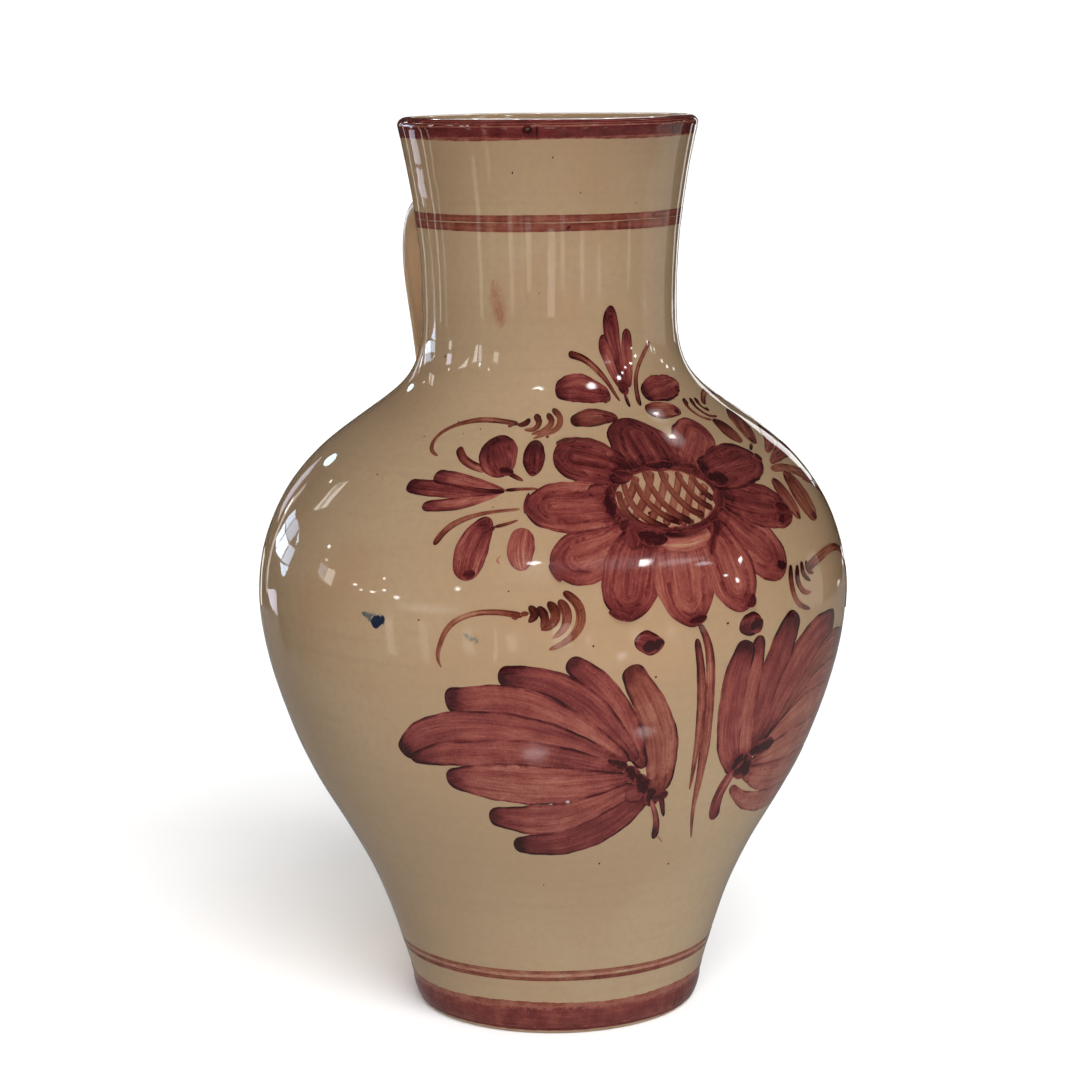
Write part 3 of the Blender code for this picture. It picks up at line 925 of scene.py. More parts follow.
def flower_dabs():
    """The near-black touches round the flower's middle and on some petal tips."""
    x, y = CENTRE
    a, b = CENTRE_HALF
    rows = []
    for start, stop in ((20, 160), (150, 260), (255, 390)):
        arc = []
        for turn in np.radians(np.linspace(start, stop, 12)):
            arc.append((x + (a + 0.7) * math.cos(turn), y + (b + 0.7) * math.sin(turn), 0.9))
        rows.append(pull(*arc, tone=3.9, edge=0.0, tip=0.0, soft=0.7, streaky=0.8))
    rows += [
        pull((-29.4, 197, 1.6), (-25.6, 196.6, 2.0), (-21.4, 196, 1.1), tone=2.8),
        dab(-31, 191.8, 5, 4, 60, tone=4.4),
        dab(-31.4, 186.8, 8, 5.6, 95),
        dab(-27.2, 180.2, 4.6, 4.2, 40, tone=4.6),
        dab(-23.4, 198.2, 7.4, 3.4, 172, tone=4.2),
        dab(-6.6, 200.8, 13, 4.4, 178),
        dab(6.5, 199.4, 7, 3, 165, tone=4.0),
        dab(17, 193.4, 9.6, 6.6, 175),
        dab(12.4, 186.2, 7, 5, 60, tone=4.5),
        dab(6.4, 176.4, 6.6, 4.4, 50, tone=4.6),
        dab(2.4, 178.2, 4.4, 2.2, 35, tone=4.6),
        dab(3.2, 171.6, 7, 2.6, 65, tone=4.2),
        dab(-18.4, 175.4, 10.6, 6, 170),
        dab(-25.4, 175.4, 6, 4.6, 100, tone=4.0),
        dab(42.4, 179.6, 8, 4.4, 165, tone=4.8),
        dab(38.9, 176.2, 4.8, 3.6, 20, tone=4.6),
        dab(49.6, 198.4, 3.4, 4.4, 90, tone=4.5),
        dab(31, 161.8, 4.6, 4.6, 0),
        dab(14.6, 152.6, 4.6, 4.4, 50, tone=4.6),
        dab(-6.1, 149.2, 6.4, 3.6, 10, tone=4.8),
        dab(-31.6, 152, 7.5, 2.6, 160, tone=4.4),
        dab(-51.4, 165.6, 6.5, 2.4, 125, tone=4.0),
        dab(-61.2, 188.4, 7, 2.0, 80, tone=3.9),
        dab(-45, 213.4, 10, 2.2, 10, tone=4.2),
        dab(-26.8, 206.8, 3.4, 2.6, 30, tone=2.0),
    ]
    rows = [(points, {"ground": 3.2, **own}) for points, own in rows]
    rows += [spot(u, v, 1.5, tone=4.0, soft=0.0) for u, v in CENTRE_SPOTS]
    line = ((-14, 176.1, 0.4), (-7, 175.4, 0.5), (0, 176.6, 0.5), (5, 178.4, 0.4))
    rows.append(pull(*line, tone=3.4, edge=0.2))
    rows.append(spot(5.9, 188.4, 0.9, soft=0.0))
    rows.append(spot(-17.8, 183.5, 0.8, soft=0.0))
    return rows


LEFT_FAN = [
    pull((-28.8, 136, 3.5), (-23.8, 127, 4.8), (-17.6, 114.6, 5.9), (-14.8, 103, 6), (-14, 90, 4.2),
        tone=1.9, hue=0.4),
    pull((-47.8, 138.6, 3), (-38.8, 131, 4.3), (-31.6, 121, 4.6), (-27, 111.6, 4.2), (-21, 100, 2),
        tone=2.15),
    pull((-69.6, 133.4, 3.4), (-57.6, 132.4, 4.3), (-46.6, 128, 4.7), (-36.4, 118.6, 4.4), (-24, 103, 2),
        tone=2.7),
    pull((-87.5, 124.4, 4.3), (-77, 125.2, 4.9), (-66, 125.4, 5.1), (-54, 121.4, 4.9), (-42, 114, 4.3),
        (-27, 103, 2)),
    pull((-107, 103.6, 3.4), (-98, 110.9, 5.1), (-84, 115.4, 5.7), (-68, 115.6, 5.6), (-52, 112.4, 4.8),
        (-29, 102, 1.8), tone=2.5),
    pull((-69.5, 70, 3), (-60, 70.3, 4.6), (-48, 71.6, 5.5), (-36, 76, 6), (-26, 82.5, 5.3),
        (-17, 90, 2.2), tone=3.2),
    pull((-77.6, 82, 3.4), (-67.6, 81.3, 5.3), (-56.6, 81, 6.3), (-44.8, 83.5, 5.6), (-33, 88.5, 4.1),
        (-21, 94.5, 1.8), tone=2.3),
    pull((-104, 102.2, 1.8), (-92, 105, 4.1), (-78, 106.5, 4.6), (-62, 107, 4.7), (-46, 104.5, 3.9),
        (-28, 100, 1.4), tone=2.5),
    pull((-91.4, 96.5, 3.2), (-81.4, 96.1, 5.7), (-67.6, 95.3, 7.2), (-53.6, 94.8, 7.3),
        (-39.8, 95.3, 5.3), (-25, 97, 1.8), tone=1.9),
]
LEFT_FAN_HUB = [
    dab(-23, 90, 7.4, 6.4, 10, tone=2.8, edge=1.5, soft=0.0),
    dab(-30.6, 102.4, 8, 4, 155, tone=4.6),
    dab(-24.5, 97.8, 9, 5.2, 135),
    dab(-20.5, 93.8, 10, 5.8, 125),
    dab(-16.2, 88.4, 8, 6, 110),
    dab(-12.6, 88.6, 6, 4.4, 10, tone=4.4),
]
LEFT_FAN_STEMS = [
    pull((-10.7, 70.2, 1.5), (-11, 75, 1.4), (-13, 81, 1.1), (-16.3, 87.5, 0.7), tone=2.2, tip=2.4),
    pull((-9, 79.6, 0.5), (-10.4, 83, 0.9), (-12.2, 88, 1.0), tone=2.4),
    pull((-9, 71, 0.3), (-6, 68, 0.2), tone=1.0, tip=0.2, hue=0.8),
]
PALE_WASH = {"tone": 1.75, "hue": 0.2, "streaky": 0.45, "tip": 0.6, "edge": 1.2}
RIGHT_FAN = [
    pull((78, 75, 3.4), (66, 75, 5.1), (52, 75.6, 4.9), (40, 77.4, 4.1), (29, 81, 2.8), (20, 87, 1.6),
        like=PALE_WASH, tone=1.7),
    pull((90, 84, 3.6), (78, 85, 6.1), (62, 86, 6.7), (48, 86.5, 6.5), (35, 88.6, 4.7), (24, 92, 2),
        like=PALE_WASH),
    pull((100, 96, 3.4), (84, 98, 6.1), (66, 98.6, 6.6), (52, 98, 6.4), (38, 96.6, 4.1), (26, 95, 1.8),
        like=PALE_WASH),
    pull((105, 106, 3.8), (90, 110, 5.9), (70, 110.6, 7), (50, 109.8, 7), (36, 104.5, 4.5), (26, 99, 2),
        like=PALE_WASH),
    pull((98, 115, 4), (84, 119.5, 5.1), (66, 121, 5.3), (50, 119.4, 4.3), (38, 112.6, 3.1),
        (27, 101, 1.8), like=PALE_WASH, tone=2.1),
    pull((85, 127, 4.2), (70, 129.3, 5.6), (56, 127.6, 5.2), (43, 119.6, 4.5), (28, 103, 2.2), tone=2.5,
        hue=0.5),
    pull((66, 138.4, 3.8), (54, 137, 5.8), (44, 132, 7.3), (36, 122, 6.7), (28, 104, 2.8), tone=2.6),
    pull((36.4, 146, 3.6), (30.8, 137.2, 5.9), (26, 126.7, 5.7), (23.9, 114, 4.5), (25, 101, 2.6),
        tone=2.9),
    pull((18.8, 141, 2.4), (17.2, 131, 3.8), (16.8, 118, 4.4), (18.4, 107, 4.1), (22.5, 96, 2.8),
        tone=2.0),
    pull((13.8, 140, 3.7), (10.2, 130, 5.1), (9.6, 117, 5), (12.3, 104, 4.8), (18.4, 93.5, 3.1),
        tone=2.6),
]
RIGHT_FAN_HUB = [
    pull((18.4, 74.4, 2.2), (15.8, 78.5, 2.6), (14.9, 84, 2.5), (16, 89, 2.4), (18.4, 94, 2), tone=2.6,
        tip=1.2),
    dab(30.6, 100.4, 13.5, 6, 6),
    dab(22.4, 94.8, 12, 9.2, 140),
    dab(19, 97, 6.5, 5.4, 60),
]
STEM = [
    pull((-5.8, 148.3, 0.8), (-3, 143, 1.3), (-1, 134, 1.7), (0.4, 120, 1.8), (1.6, 105, 2),
        (2.6, 92, 1.5), (4.2, 80, 0.9), (9, 67.5, 0.35), tone=2.1, edge=0.9, hue=0.4),
    pull((-6.3, 143, 1.1), (-4.5, 133, 1.5), (-2.8, 120, 1.6), (-1.8, 107, 1.3), (-0.6, 89.3, 0.5),
        tone=2.3, hue=0.4),
]
DOTS = [
    dab(-22.6, 142.9, 9.4, 7.4, 165, tone=2.9, edge=1.4, tip=1.0, soft=0.0, streaky=1.0),
    dab(-21, 142.3, 7.4, 5, 10),
    dab(14.5, 145, 9.8, 7.4, 10, tone=2.9, edge=1.4, tip=1.0, soft=0.0, streaky=1.0),
    dab(17, 144.6, 6, 5.2, 20),
]
CROWN = [
    pull((-38.8, 248.4, 1.3), (-30, 247.3, 1.3), (-20, 243.8, 1.4), (-12.4, 238.5, 1.4), (-8.3, 231, 0.8),
        tone=2.7, hue=0.7),
    pull((3.4, 228.6, 1.5), (6, 233, 1.5), (11, 239.5, 1.2), (19, 244.8, 1.0), (32, 250.6, 0.9), tone=2.3,
        hue=0.7),
    pull((-49.2, 235.9, 3), (-39.4, 236.8, 5), (-27.4, 236.1, 5.2), (-13.2, 233.6, 2.6), tone=2.6,
        root=1.2),
    pull((10.2, 232.6, 2.4), (19.8, 234.2, 4.7), (29.8, 234.5, 5.1), (40.8, 235.3, 3.9), (50.8, 236, 1),
        tone=2.9),
    pull((-41.6, 222.8, 2.2), (-32, 224.2, 4), (-23, 224.6, 3.4), (-14.5, 224, 1.5), tone=3.0, root=1.0,
        hue=0.4),
    pull((5.3, 226.2, 2.1), (12.3, 225.6, 3.7), (20.3, 225.5, 3.7), (29.8, 225, 1.9), tone=2.3, root=1.0,
        hue=0.4),
    dab(-17.2, 232.4, 5, 3, 30, tone=4.0),
    dab(-20.4, 224.6, 5.5, 2, 170, tone=4.0),
    dab(43.6, 233.4, 6.5, 2.6, 15, tone=4.4),
    dab(26.6, 224.4, 5, 2.6, 20, tone=4.2),
    pull((9.8, 255.6, 3.6), (8.2, 249, 4.6), (5.6, 243, 3.9), (1.2, 236.6, 2.2), tone=2.1, root=1.4,
        inner=0.3),
    pull((-14.9, 252.6, 2.8), (-9, 248.4, 4.6), (-5, 242.5, 4.3), (-2.4, 235.6, 2.8), tone=2.2, root=1.4,
        inner=0.3),
    pull((-8, 262.6, 4.4), (-5, 257, 6.2), (-1.7, 250, 4.6), (-1, 239, 2), tone=3.0, root=1.0, inner=0.3),
    dab(-2, 236.4, 8, 5.6, 10, tone=4.4),
    pull((-3.9, 228.3, 1.2), (-2.9, 234, 1.1), tone=2.4, tip=2.0),
]
TENDRIL_LEFT = [
    pull((-69.7, 222, 1.2), (-79.7, 223.2, 1.2), (-89.7, 223.5, 1.3), (-98.7, 222.2, 1.2),
        (-106.7, 219, 1.1), (-110.7, 214.6, 1.1), (-109.7, 209.6, 0.9), (-103.7, 206, 0.5), tone=2.6),
    dab(-73.4, 221.6, 3.4, 2.2, 30, tone=3.0, soft=0.0),
    pull((-63.6, 224.4, 1.7), (-66, 222.2, 1.4), (-70, 221.6, 0.9), tone=2.6),
    pull((-61.6, 225.8, 1.8), (-58.6, 223.6, 1.7), (-59.4, 220.6, 1.4), (-66, 219.4, 0.6), tone=2.5),
    pull((-54.4, 226.6, 1.6), (-51.7, 223.4, 1.7), (-54.4, 219.8, 1.4), (-62, 217.2, 0.6), tone=2.3),
    pull((-51.4, 228.6, 1.4), (-47.2, 225, 1.7), (-48.4, 220.6, 1.5), (-54, 217.6, 1.1), (-61, 215, 0.5),
        tone=2.0),
    spot(-54, 216, 1.8, tone=3.4),
]
TENDRIL_LOW_LEFT = [
    pull((-61.5, 152.6, 1.1), (-65.7, 153.2, 1.0), (-72.7, 153.5, 0.9), (-79.7, 152, 0.9),
        (-85.1, 148.3, 0.9), (-87.9, 142.8, 0.8), (-88.7, 138.3, 0.6), (-87.7, 135.4, 0.3), tone=1.8),
    dab(-64.2, 152.2, 2.4, 1.6, 150, tone=3.0, soft=0.0),
    dab(-61, 153.2, 1.6, 3, 100, tone=2.8, soft=0.0),
    pull((-59.6, 155.6, 1.3), (-57.9, 153, 1.4), (-59.8, 150.6, 0.9), tone=2.5),
    pull((-57, 155.3, 1.4), (-54.7, 152, 1.5), (-55.8, 148.6, 1.0), tone=2.6),
    pull((-53.8, 156.8, 1.4), (-51.4, 153, 1.6), (-53, 149.6, 1.2), (-56, 148.3, 0.7), tone=2.3),
    pull((-50.4, 157.4, 1.4), (-48, 153, 1.6), (-49, 148.6, 1.2), (-52.6, 145.6, 0.5), tone=1.9),
    pull((-49, 159.8, 1.3), (-44.4, 155.6, 1.5), (-44, 150, 1.5), (-47.6, 145.2, 1.1),
        (-53.6, 142.1, 0.6), tone=1.8),
]
FINE_STEM = {"tone": 1.9, "hue": 0.7}
SPRIG_LEFT = [
    pull((-95.6, 210.4, 1.7), (-91.6, 206.1, 1.7), (-86.5, 203.1, 1.7), (-79, 200.8, 1.5), tone=2.4,
        hue=0.4),
    pull((-80, 215.6, 4.6), (-77, 210, 8.2), (-73.7, 204.4, 7.6), (-70.4, 198.8, 3.4), tone=3.0,
        inner=0.9),
    pull((-58.6, 214.4, 2.8), (-59.7, 208.8, 4.6), (-59.6, 203.8, 4.4), (-60, 198.6, 1.8), tone=3.1,
        root=1.0),
    dab(-60, 200, 3.2, 2.4, 0, tone=4.4),
    pull((-70.6, 200.6, 0.8), (-67, 198.6, 0.9), (-63.2, 196.8, 0.6), tone=2.4, hue=0.5),
    dab(-70.6, 200.8, 6.4, 3.8, 165, tone=4.8),
    pull((-100.6, 186.2, 1.8), (-90, 187.4, 2.3), (-80, 189.6, 1.9), (-70.6, 192.6, 0.7), tone=2.2),
    pull((-110.6, 193.3, 2.6), (-100, 192.9, 3.0), (-88, 192.4, 2.6), (-70, 192.8, 0.8), tone=3.0),
    pull((-100.4, 197.8, 2.7), (-90, 196.6, 2.8), (-80, 195, 2.1), (-69.6, 192.9, 0.7), tone=2.3),
    pull((-70, 192.6, 0.9), (-78, 192.8, 0.8), (-87, 193.8, 0.6), (-96, 195.2, 0.3), tone=4.0, edge=0.1),
    pull((-69.6, 193.1, 0.7), (-63, 193.7, 0.5), (-57.5, 193.7, 0.5), like=FINE_STEM),
    pull((-92.4, 173.6, 1.1), (-89, 178.6, 1.1), (-83, 182.6, 0.9), (-75, 185, 0.6), (-63.6, 186.4, 0.4),
        hue=0.7),
    pull((-73.9, 183.2, 2.5), (-77.5, 176.5, 4.9), (-79.5, 170, 5.6), (-80.5, 162.9, 3), tone=2.5,
        inner=0.6),
    pull((-72, 180.2, 0.6), (-68, 181.2, 0.5), (-64, 182.6, 0.4), like=FINE_STEM),
    dab(-72.6, 179.6, 2, 1.6, 40, tone=4.4),
    dab(-79, 165, 4.2, 3.4, 10, tone=4.6),
    pull((-61.4, 179.8, 3), (-62.6, 173, 4.6), (-61.6, 166.4, 2.4), tone=1.8, edge=0.9, tip=0.6),
]
FAR_WASH = {"tone": 2.2, "hue": 0.8}
RIGHT_SPRIGS = [
    pull((56.8, 225.4, 1.2), (66, 228, 1.1), (78, 229.4, 1.2), (92, 228, 1.2), (103, 222.6, 1.1),
        (108, 215, 1.0), (105, 207.5, 0.5), like=FAR_WASH),
    pull((55.6, 228, 1.2), (51.8, 225.6, 1.3), (52.8, 223, 1.1), (56.2, 223.4, 0.6), like=FAR_WASH,
        tone=2.7),
    pull((50, 228.6, 1.2), (46, 225.4, 1.3), (47, 221.4, 1.1), (55, 219, 0.5), like=FAR_WASH, tone=2.6),
    pull((43.6, 228.8, 1.3), (38.8, 225.8, 1.3), (39.4, 221.6, 1.1), (47, 218, 0.6), like=FAR_WASH,
        tone=2.4),
    pull((51.4, 217.8, 4.2), (49.6, 212.4, 5.8), (47.4, 206.4, 4), tone=2.9, hue=0.7),
    pull((50.4, 202.2, 0.6), (56.6, 204.2, 0.7), like=FAR_WASH),
    pull((79.5, 218.6, 2.6), (74, 215.4, 4.6), (66, 211, 4.9), (58.4, 204.6, 2.4), tone=2.8, hue=0.6),
    dab(60, 205.6, 4, 3, 30, tone=4.4),
    pull((96, 206.6, 2.8), (84, 204.4, 2.8), (73, 202, 2.1), (61.8, 199.6, 0.9), tone=2.6, hue=0.5),
    pull((101, 197.4, 2.7), (86, 197.4, 2.9), (70, 197, 2.2), (56.6, 195.4, 0.9), tone=2.6, hue=0.5),
    pull((91, 185, 2.4), (78, 188, 2.4), (65, 192, 1.8), (52.6, 193, 1.2), like=FAR_WASH),
    pull((94, 174, 1.1), (90, 179, 1.1), (83, 183, 0.9), (74, 186, 0.5), like=FAR_WASH),
    pull((60.4, 190.8, 3.4), (62, 184, 6.6), (62.6, 178, 6.6), (63.6, 172.2, 3.4), like=FAR_WASH,
        inner=0.8),
    dab(64, 173.8, 4.6, 3, 0, tone=4.2),
    pull((48, 189.7, 2.8), (49.6, 183, 4), (51.2, 174.3, 1.9), tone=2.3, hue=0.5),
    dab(51.2, 175.6, 2.8, 2.2, 100, tone=4.6),
    pull((46, 158.6, 1.4), (56, 160.6, 1.5), (68, 161.6, 1.3), (80, 159.6, 1.1), (88.4, 153.6, 1.0),
        (91, 146, 0.9), (89.6, 138, 0.5), like=FAR_WASH),
    pull((46.2, 161, 0.9), (46, 158.4, 1.0), (49.4, 156.4, 0.5), like=FAR_WASH, tone=2.7),
    pull((43.2, 161.2, 0.9), (42.8, 157.4, 1.0), (46.4, 154.4, 0.5), like=FAR_WASH, tone=2.6),
    pull((40.2, 160.4, 0.9), (38.8, 155.6, 1.1), (41.4, 151.8, 0.9), (46, 150.8, 0.5), like=FAR_WASH,
        tone=2.5),
    pull((36.4, 161, 0.9), (35, 155.6, 1.1), (36.8, 149.6, 1.0), (44.6, 145.6, 0.6), like=FAR_WASH,
        tone=2.4),
]

# Small faults of the firing: a fallen crumb of cobalt with its smear, grey smudges, and brown specks
COBALT_SPOTS = [
    pull((-116.5, 150.4, 0.8), (-113.6, 149.7, 1.7), (-110.5, 148.7, 2.6), tone=2.2, soft=0.8, edge=0.0,
        tip=0.0, streaky=0.3),
    dab(-110, 148.6, 5.6, 4.9, 20, tone=4.7, ground=0.0, soft=0.5, square=2.4, wobble=7.0, streaky=0.8),
    dab(-77.8, 145.4, 5.4, 5.0, 150, tone=0.75, ground=0.0, soft=1.0),
]
STAINS = [
    pull((-95.4, 272, 5.6), (-91.4, 264.6, 8.4), (-88, 257, 6.4), tone=0.62, hue=1.0),
    pull((-69, 171, 0.6), (-70, 169.5, 0.8), (-69, 168.2, 0.6), tone=0.9),
]
SPECKS = [
    (-76.2, 306.6, 1.0), (-49, 311.4, 0.9), (-89, 219, 0.8), (-97, 216.5, 0.7), (-118, 214, 0.8),
    (-104, 222, 0.7), (-33, 61, 0.9), (2, 57, 0.9), (-58, 52, 0.7), (-20, 132, 0.8), (-40, 143, 0.7),
    (-95, 150, 0.7), (-66, 160, 0.6), (-30, 300, 0.7), (14, 296, 0.6), (-60, 268, 0.6), (5, 146.6, 0.9),
    (-43.5, 154, 0.7), (-128, 196, 0.7),
]


RING_STEPS = 48
RING_OVERLAP = 7


def ring(low, high, join, wave=0.0, tone=2.0, **own):
    """A line painted round the jug on the wheel, between two heights along the wall, with a short overlap."""
    middle, half = (low + high) / 2, (high - low) / 2
    turn = TAU * BELLY_RADIUS / MM
    points = []
    for i in range(RING_STEPS + 1):
        share = i / RING_STEPS
        sway = wave * math.sin(share * TAU + 0.8) + 0.3 * wave * math.sin(share * TAU * 3)
        swell = 1 + 0.06 * math.sin(share * TAU * 5)
        points.append((join + share * (turn + RING_OVERLAP), middle + sway, half * swell))
    return points, {"tone": tone, "tip": 0.6, "caps": (2, 2), "wobble": 0.7, **own}


wall_glaze = glaze_material()
wash = paint_material("wine_wash_fired", (WINE, UMBER))
cobalt = paint_material("cobalt_crumb_fired", (COBALT, COBALT))
clay = clay_material()

wall = make_wall(wall_glaze)
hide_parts("clay_body", "body_glaze")
make_foot(clay)
handle = make_handle(wall_glaze)
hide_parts("handle", "handle_glaze", "upper_join", "lower_join")

THIN = {"hue": 0.9, "edge": 0.5}
BARE = {"ground": 0.0, "soft": 1.0, "edge": 0.0, "tip": 0.0, "caps": (4, 4), "streaky": 0.12}
paint("stains", STAINS, wash, layer=-2, **BARE)
paint("flower_petals", flower_petals(), wash, edge=1.0, streaky=0.85)
paint("flower_centre", flower_centre(), wash, layer=14, caps=(1.2, 1.2), streaky=0.5)
paint("flower_dabs", flower_dabs(), wash, layer=34)
paint("left_fan", LEFT_FAN, wash, root=1.4, tip=2.0, edge=1.7, streaky=0.66)
paint("left_fan_hub", LEFT_FAN_HUB + LEFT_FAN_STEMS, wash, layer=12)
paint("right_fan", RIGHT_FAN, wash, root=1.2, tip=1.7, edge=1.5, streaky=0.64)
paint("right_fan_hub", RIGHT_FAN_HUB, wash, layer=12)
paint("stem_strokes", STEM, wash)
paint("dots", DOTS, wash)
paint("crown_sprig", CROWN, wash, layer=2)
paint("upper_left_tendril", TENDRIL_LEFT, wash, **THIN)
paint("lower_left_tendril", TENDRIL_LOW_LEFT, wash, **THIN)
paint("left_sprig", SPRIG_LEFT, wash)
paint("right_sprigs", RIGHT_SPRIGS, wash)
paint("specks", [spot(*speck, tone=4.6, hue=1.0) for speck in SPECKS], wash, layer=3)
paint("cobalt_spots", COBALT_SPOTS, cobalt)

RIM = RIM_AT / MM
BAND_EDGE = {"edge": 0.4, "square": 3.0}
RIM_BAND = [
    ring(RIM - 3.9, RIM + 4.6, -20, 0.2, 1.7, hue=0.4, streaky=0.3, **BAND_EDGE),
    ring(RIM - 3.3, RIM + 4.6, 40, 0.2, 3.45, streaky=0.35, ground=1.7, soft=0.14, edge=0.0, square=3.0),
]
RIM_BLOB = [
    dab(-65, RIM - 0.6, 6.4, 3.2, 4, tone=4.9, ground=3.6),
    dab(-59, RIM - 1.2, 3.4, 1.8, 80, tone=4.6, ground=3.6),
]
paint("rim_band", RIM_BAND, wash)
paint("rim_blob", RIM_BLOB, wash, layer=24)
STRIPE = {"tone": 2.15, "hue": 0.6, "streaky": 0.4, **BAND_EDGE}
NECK_STRIPES = [
    ring(290.65, 292.95, 34, 0.12, **STRIPE),
    ring(287.6, 290.35, 0, 0.12, **STRIPE),
    dab(-38, 288.8, 3.4, 2, 10, tone=3.8, ground=2.4),
    dab(33, 291.8, 1.6, 2.4, 90, tone=3.8, ground=2.4),
]
paint("neck_stripes", NECK_STRIPES, wash)
FOOT_LINE = {"hue": 0.8, "edge": 0.2, "streaky": 0.5}
FOOT_STRIPES = [
    ring(12.0, 15.4, 80, 0.1, 0.75, **{**FOOT_LINE, "hue": 0.2}),
    ring(14.6, 15.9, 60, 0.1, 1.8, **FOOT_LINE),
    ring(11.9, 13.4, -30, 0.1, 2.4, **FOOT_LINE),
]
paint("foot_stripes", FOOT_STRIPES, wash)
LOW = PATH_AT[0] / MM
FOOT_BAND = [
    ring(LOW + 0.7, 3.4, 10, 0.15, 1.7, edge=0.2, streaky=0.12, hue=0.4, step=0.3),
    ring(LOW + 0.7, 1.9, 40, 0.2, 3.0, edge=0.0, streaky=0.35, hue=0.3, soft=0.4, ground=1.6, step=0.3),
    ring(LOW + 0.7, LOW + 1.8, 70, 0.1, 3.5, edge=0.0, streaky=0.35, hue=0.3, step=0.3),
]
paint("foot_band", FOOT_BAND, wash, layer=7)


# Camera, floor and light


def direction(azimuth, elevation):
    """A unit vector pointing from the jug at an azimuth from -Y towards +X and an elevation, in radians."""
    flat = math.cos(elevation)
    return Vector((math.sin(azimuth) * flat, -math.cos(azimuth) * flat, math.sin(elevation)))


def turned(piece, rotation):
    piece.rotation_mode = "QUATERNION"
    piece.rotation_quaternion = rotation


def make_camera():
    data = bpy.data.cameras.new("camera")
    data.sensor_width = SENSOR
    data.lens = CAMERA_LENS
    camera = placed("camera", data)
    bpy.context.scene.camera = camera
    side = direction(CAMERA_AZIMUTH, 0)
    camera.location = side * CAMERA_DISTANCE + Vector((0, 0, CAMERA_HEIGHT))
    back = direction(CAMERA_AZIMUTH + CAMERA_TURN, CAMERA_PITCH)
    right = Vector((0, 0, 1)).cross(back).normalized()
    up = back.cross(right)
    look = Matrix((right, up, back)).transposed() @ Matrix.Rotation(-CAMERA_ROLL, 3, "Z")
    turned(camera, look.to_quaternion())
    return camera


def stage_mesh(name, verts, faces, material):
    """A new piece of the studio, not attached to the jug's body."""
    piece = placed(name, new_mesh(name, verts, faces, material))
    return piece


def dome(name, radius, material):
    """A big sphere round the scene."""
    rows, columns = 24, 48
    verts = []
    for i in range(rows + 1):
        tilt = -math.pi / 2 + math.pi * i / rows
        for j in range(columns):
            verts.append(direction(TAU * j / columns, tilt) * radius)
    return stage_mesh(name, verts, grid_faces(rows + 1, columns, closed=True), material)


def seen_only_by(piece, *kinds):
    for kind in ("camera", "diffuse", "glossy", "transmission", "volume_scatter", "shadow"):
        setattr(piece, "visible_" + kind, kind in kinds)


def shining(name, colour, strength, soft=False):
    """A lamp's face. A soft one fades towards its edges and lets the rest through."""
    material, tree = graph(name)
    shine = node(tree, "Emission", {"Color": (*colour, 1), "Strength": strength}).outputs[0]
    if soft:
        at = node(tree, "UVMap").outputs[0]
        centred = node(tree, "VectorMath", {0: at, 1: (0.5, 0.5, 0)}, operation="DISTANCE").outputs["Value"]
        mask = ranged(tree, centred, 0.08, 0.5, 1.0, 0.0)
        clear = node(tree, "BsdfTransparent").outputs[0]
        shine = node(tree, "MixShader", {0: mask, 1: clear, 2: shine}).outputs[0]
    node(tree, "OutputMaterial", {0: shine})
    return material


PANEL_DISTANCE = 3.0
SLOPE_STEP = 0.4
SEARCH_STEP = 8.0
SHADE_NEAR = 70 * MM
SHADE_HALF = 24 * MM
CLOSE = 60 * MM
WHITE = (1.0, 1.0, 1.0)
LILAC = (0.86, 0.84, 1.0)
CYAN = (0.7, 0.95, 1.0)
BEIGE = (1.0, 0.93, 0.84)


def softbox(name, corners, strength, colour=WHITE, soft=False):
    """A flat lamp with the given corners that shows only in the glaze."""
    piece = stage_mesh(name, corners, [tuple(range(len(corners)))], shining(name, colour, strength, soft))
    if soft:
        layer = piece.data.uv_layers.new(name="UVMap")
        layer.data.foreach_set("uv", [0, 0, 1, 0, 1, 1, 0, 1])
    seen_only_by(piece, "glossy")
    return piece


def rectangle(middle, side, rise):
    return [middle - side - rise, middle + side - rise, middle + side + rise, middle - side + rise]


def facing(middle, toward, wide, tall):
    """The corners of an upright rectangle that is square to the way towards it."""
    side = Vector((0, 0, 1)).cross(toward).normalized() * wide / 2
    return rectangle(middle, side, toward.cross(side).normalized() * tall / 2)


def window(name, azimuth, elevation, width, height, strength, colour=WHITE):
    """A bright opening of the room, by its middle and its full size in degrees as seen from the jug."""
    toward = direction(azimuth * DEGREE, elevation * DEGREE)
    wide, tall = (2 * PANEL_DISTANCE * math.tan(angle * DEGREE / 2) for angle in (width, height))
    corners = facing(Vector((0, 0, HEIGHT / 2)) + toward * PANEL_DISTANCE, toward, wide, tall)
    return softbox(name, corners, strength, colour)


def mirrored(around, up):
    """A place on the glaze, and which way the camera's ray goes on after it is reflected there."""
    u = np.array([around, around - SLOPE_STEP, around + SLOPE_STEP, around, around]) * MM
    v = np.array([up, up, up, up - SLOPE_STEP, up + SLOPE_STEP]) * MM
    spot, left, right, low, high = (Vector(p) for p in surface(u, v))
    normal = (right - left).cross(high - low).normalized()
    ray = (spot - camera.location).normalized()
    return spot, ray.reflect(normal)


def glint(name, around, up, wide, tall, strength, colour=WHITE, near=PANEL_DISTANCE):
    """A soft lamp whose reflection has the given middle and size on the glaze, in millimetres."""
    spot, toward = mirrored(around, up)
    ends = []
    for u, v in ((-wide, 0), (wide, 0), (0, -tall), (0, tall)):
        start, way = mirrored(around + u / 2, up + v / 2)
        ends.append(start + way * near)
    left, right, low, high = ends
    corners = rectangle(spot + toward * near, (right - left) / 2, (high - low) / 2)
    return softbox(name, corners, strength, colour, True)


